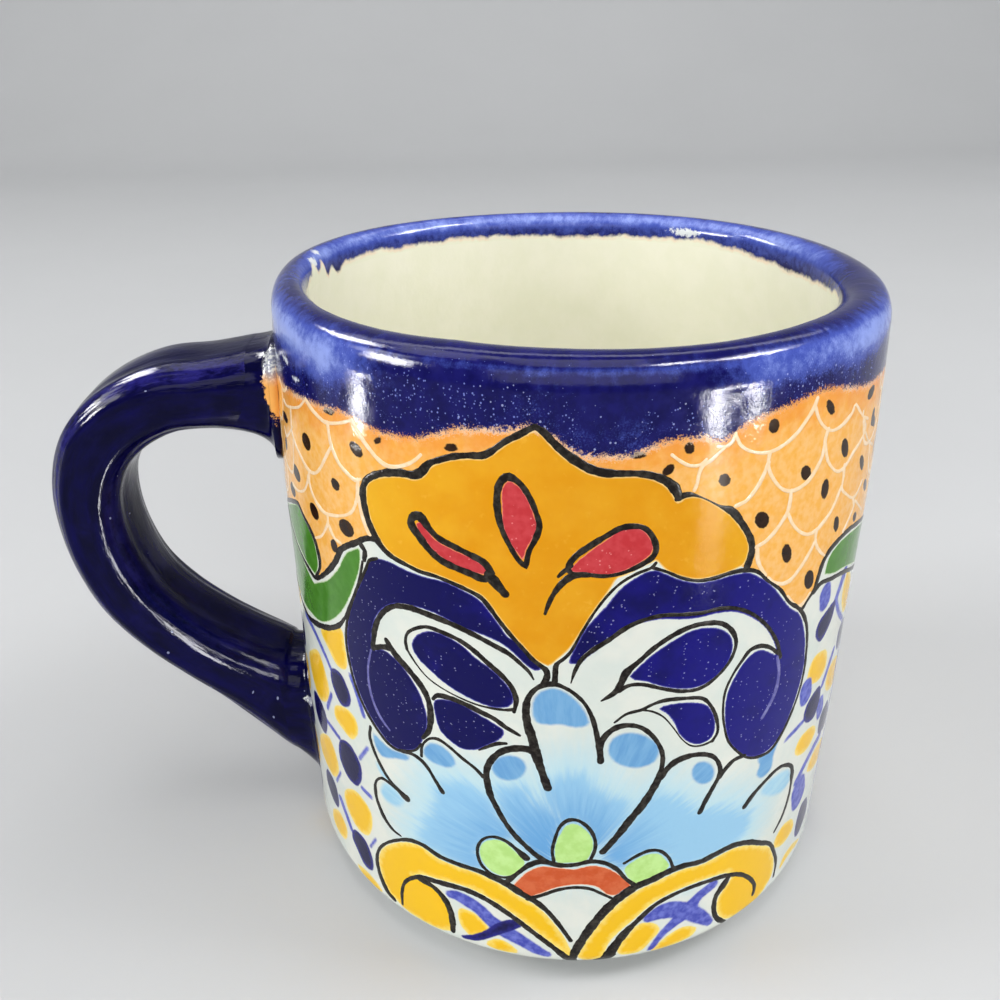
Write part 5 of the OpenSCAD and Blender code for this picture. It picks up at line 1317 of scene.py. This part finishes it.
area_light("front_box", (0.02, -1.15, 0.66), (0, 0, 0.05), (1.5, 0.8), 11.5)
area_light("top_box", (0.05, 0.0, 1.05), (0, 0, 0.04), (0.7, 0.5), 4.0)
area_light("left_box", (-0.95, -0.05, 0.62), (0, 0, 0.06), (0.35, 0.35), 5.0)
area_light("right_box", (0.75, -0.05, 0.90), (0, 0, 0.06), (0.35, 0.35), 4.5)


def seen_from_cup(az, el, far, z=0.09):
    """A place this far off, by the compass from the painted face and the height above the lip."""
    a, e = math.radians(az), math.radians(el)
    return (far * math.sin(a) * math.cos(e), -far * math.cos(a) * math.cos(e), z + far * math.sin(e))


# cards that only show as gleams in the glaze: low ones for the wall, high ones for the lip and handle
LIP = (0, 0, 0.09)
ring_at, ring_to = np.array((0.119, -0.1236, 0.0495)), np.array((0.0136, -0.0412, 0.0904))
ring_x, ring_y = np.array((0.616, 0.788, 0.0)), np.array((0.230, -0.180, 0.956))


def ring_part(name, dx, dy, size, power_w):
    return area_light(name, ring_at + ring_x * dx + ring_y * dy,
                      ring_to + ring_x * dx * 0.12 + ring_y * dy * 0.74, size, power_w, 20.0)


for card in (area_light("left_card", (-0.161, -0.031, 0.046), (-0.028, -0.033, 0.0895), (0.014, 0.016), 0.0006, 20.0),
             ring_part("ring_left", -0.0165, 0.0, (0.011, 0.016), 0.00100),
             ring_part("ring_top_left", -0.0090, 0.0088, (0.020, 0.006), 0.00064),
             ring_part("ring_top_right", 0.0120, 0.0092, (0.022, 0.006), 0.00070),
             ring_part("ring_right", 0.0210, 0.0020, (0.009, 0.012), 0.00042),
             area_light("right_strip", (0.0924, -0.117, 0.022), (0.012, -0.042, 0.066), (0.022, 0.070), 0.00055, 20.0),
             area_light("left_window", seen_from_cup(-123, 37, 1.0), LIP, (0.22, 0.30), 11.0),
             area_light("left_low", seen_from_cup(-77, 19, 1.0), LIP, (0.34, 0.22), 20.0),
             area_light("right_window", seen_from_cup(80, 46, 1.0), LIP, (0.18, 0.30), 14.0),
             area_light("right_top", seen_from_cup(69, 63, 1.0), LIP, (0.20, 0.14), 8.0),
             area_light("left_sky", seen_from_cup(-122, 62, 1.0), LIP, (0.60, 0.40), 3.0),
             area_light("back_strip", seen_from_cup(176, 50, 1.0), LIP, (1.5, 0.14), 3.0)):
    card.visible_diffuse = False
# two more for the handle alone
strap_card = area_light("strap_card", seen_from_cup(22, 36, 1.0), (-0.06, 0, 0.05), (0.24, 1.2), 26.0)
strap_low = area_light("strap_low", (-0.058, -0.053, 0.031), (-0.070, -0.008, 0.050), (0.010, 0.024), 0.055)
strap_only = bpy.data.collections.new("strap_only")
strap_only.objects.link(handle_strap)
for card in (strap_card, strap_low):
    card.visible_diffuse = False
    card.light_linking.receiver_collection = strap_only
world = bpy.data.worlds.new("studio")
world.use_nodes = True
world.node_tree.nodes["Background"].inputs[0].default_value = (0.95, 0.97, 1.0, 1.0)
world.node_tree.nodes["Background"].inputs[1].default_value = 0.27
bpy.context.scene.world = world
bpy.context.scene.view_settings.view_transform = "Standard"

cam = bpy.data.cameras.new("camera")
cam.sensor_fit, cam.sensor_width, cam.lens = "HORIZONTAL", 36.0, 36.0 * 955.8517 / 1000
cam.clip_start = 0.005
cam_ob = bpy.data.objects.new("camera", cam)
pitch, yaw, roll = 0.4918943, -0.0795786 + math.radians(6.0), -0.0178006
fwd = np.array([math.sin(yaw) * math.cos(pitch), math.cos(yaw) * math.cos(pitch), -math.sin(pitch)])
side = np.array([math.cos(yaw), -math.sin(yaw), 0.0])
up = np.cross(side, fwd)
right = math.cos(roll) * side + math.sin(roll) * up
over = -math.sin(roll) * side + math.cos(roll) * up
seat = np.array([-14.327, -136.310, 131.135]) * MM
cam_ob.matrix_world = Matrix([[right[k], over[k], -fwd[k], seat[k]] for k in range(3)] + [[0, 0, 0, 1]])
bpy.context.scene.collection.objects.link(cam_ob)
bpy.context.scene.camera = cam_ob
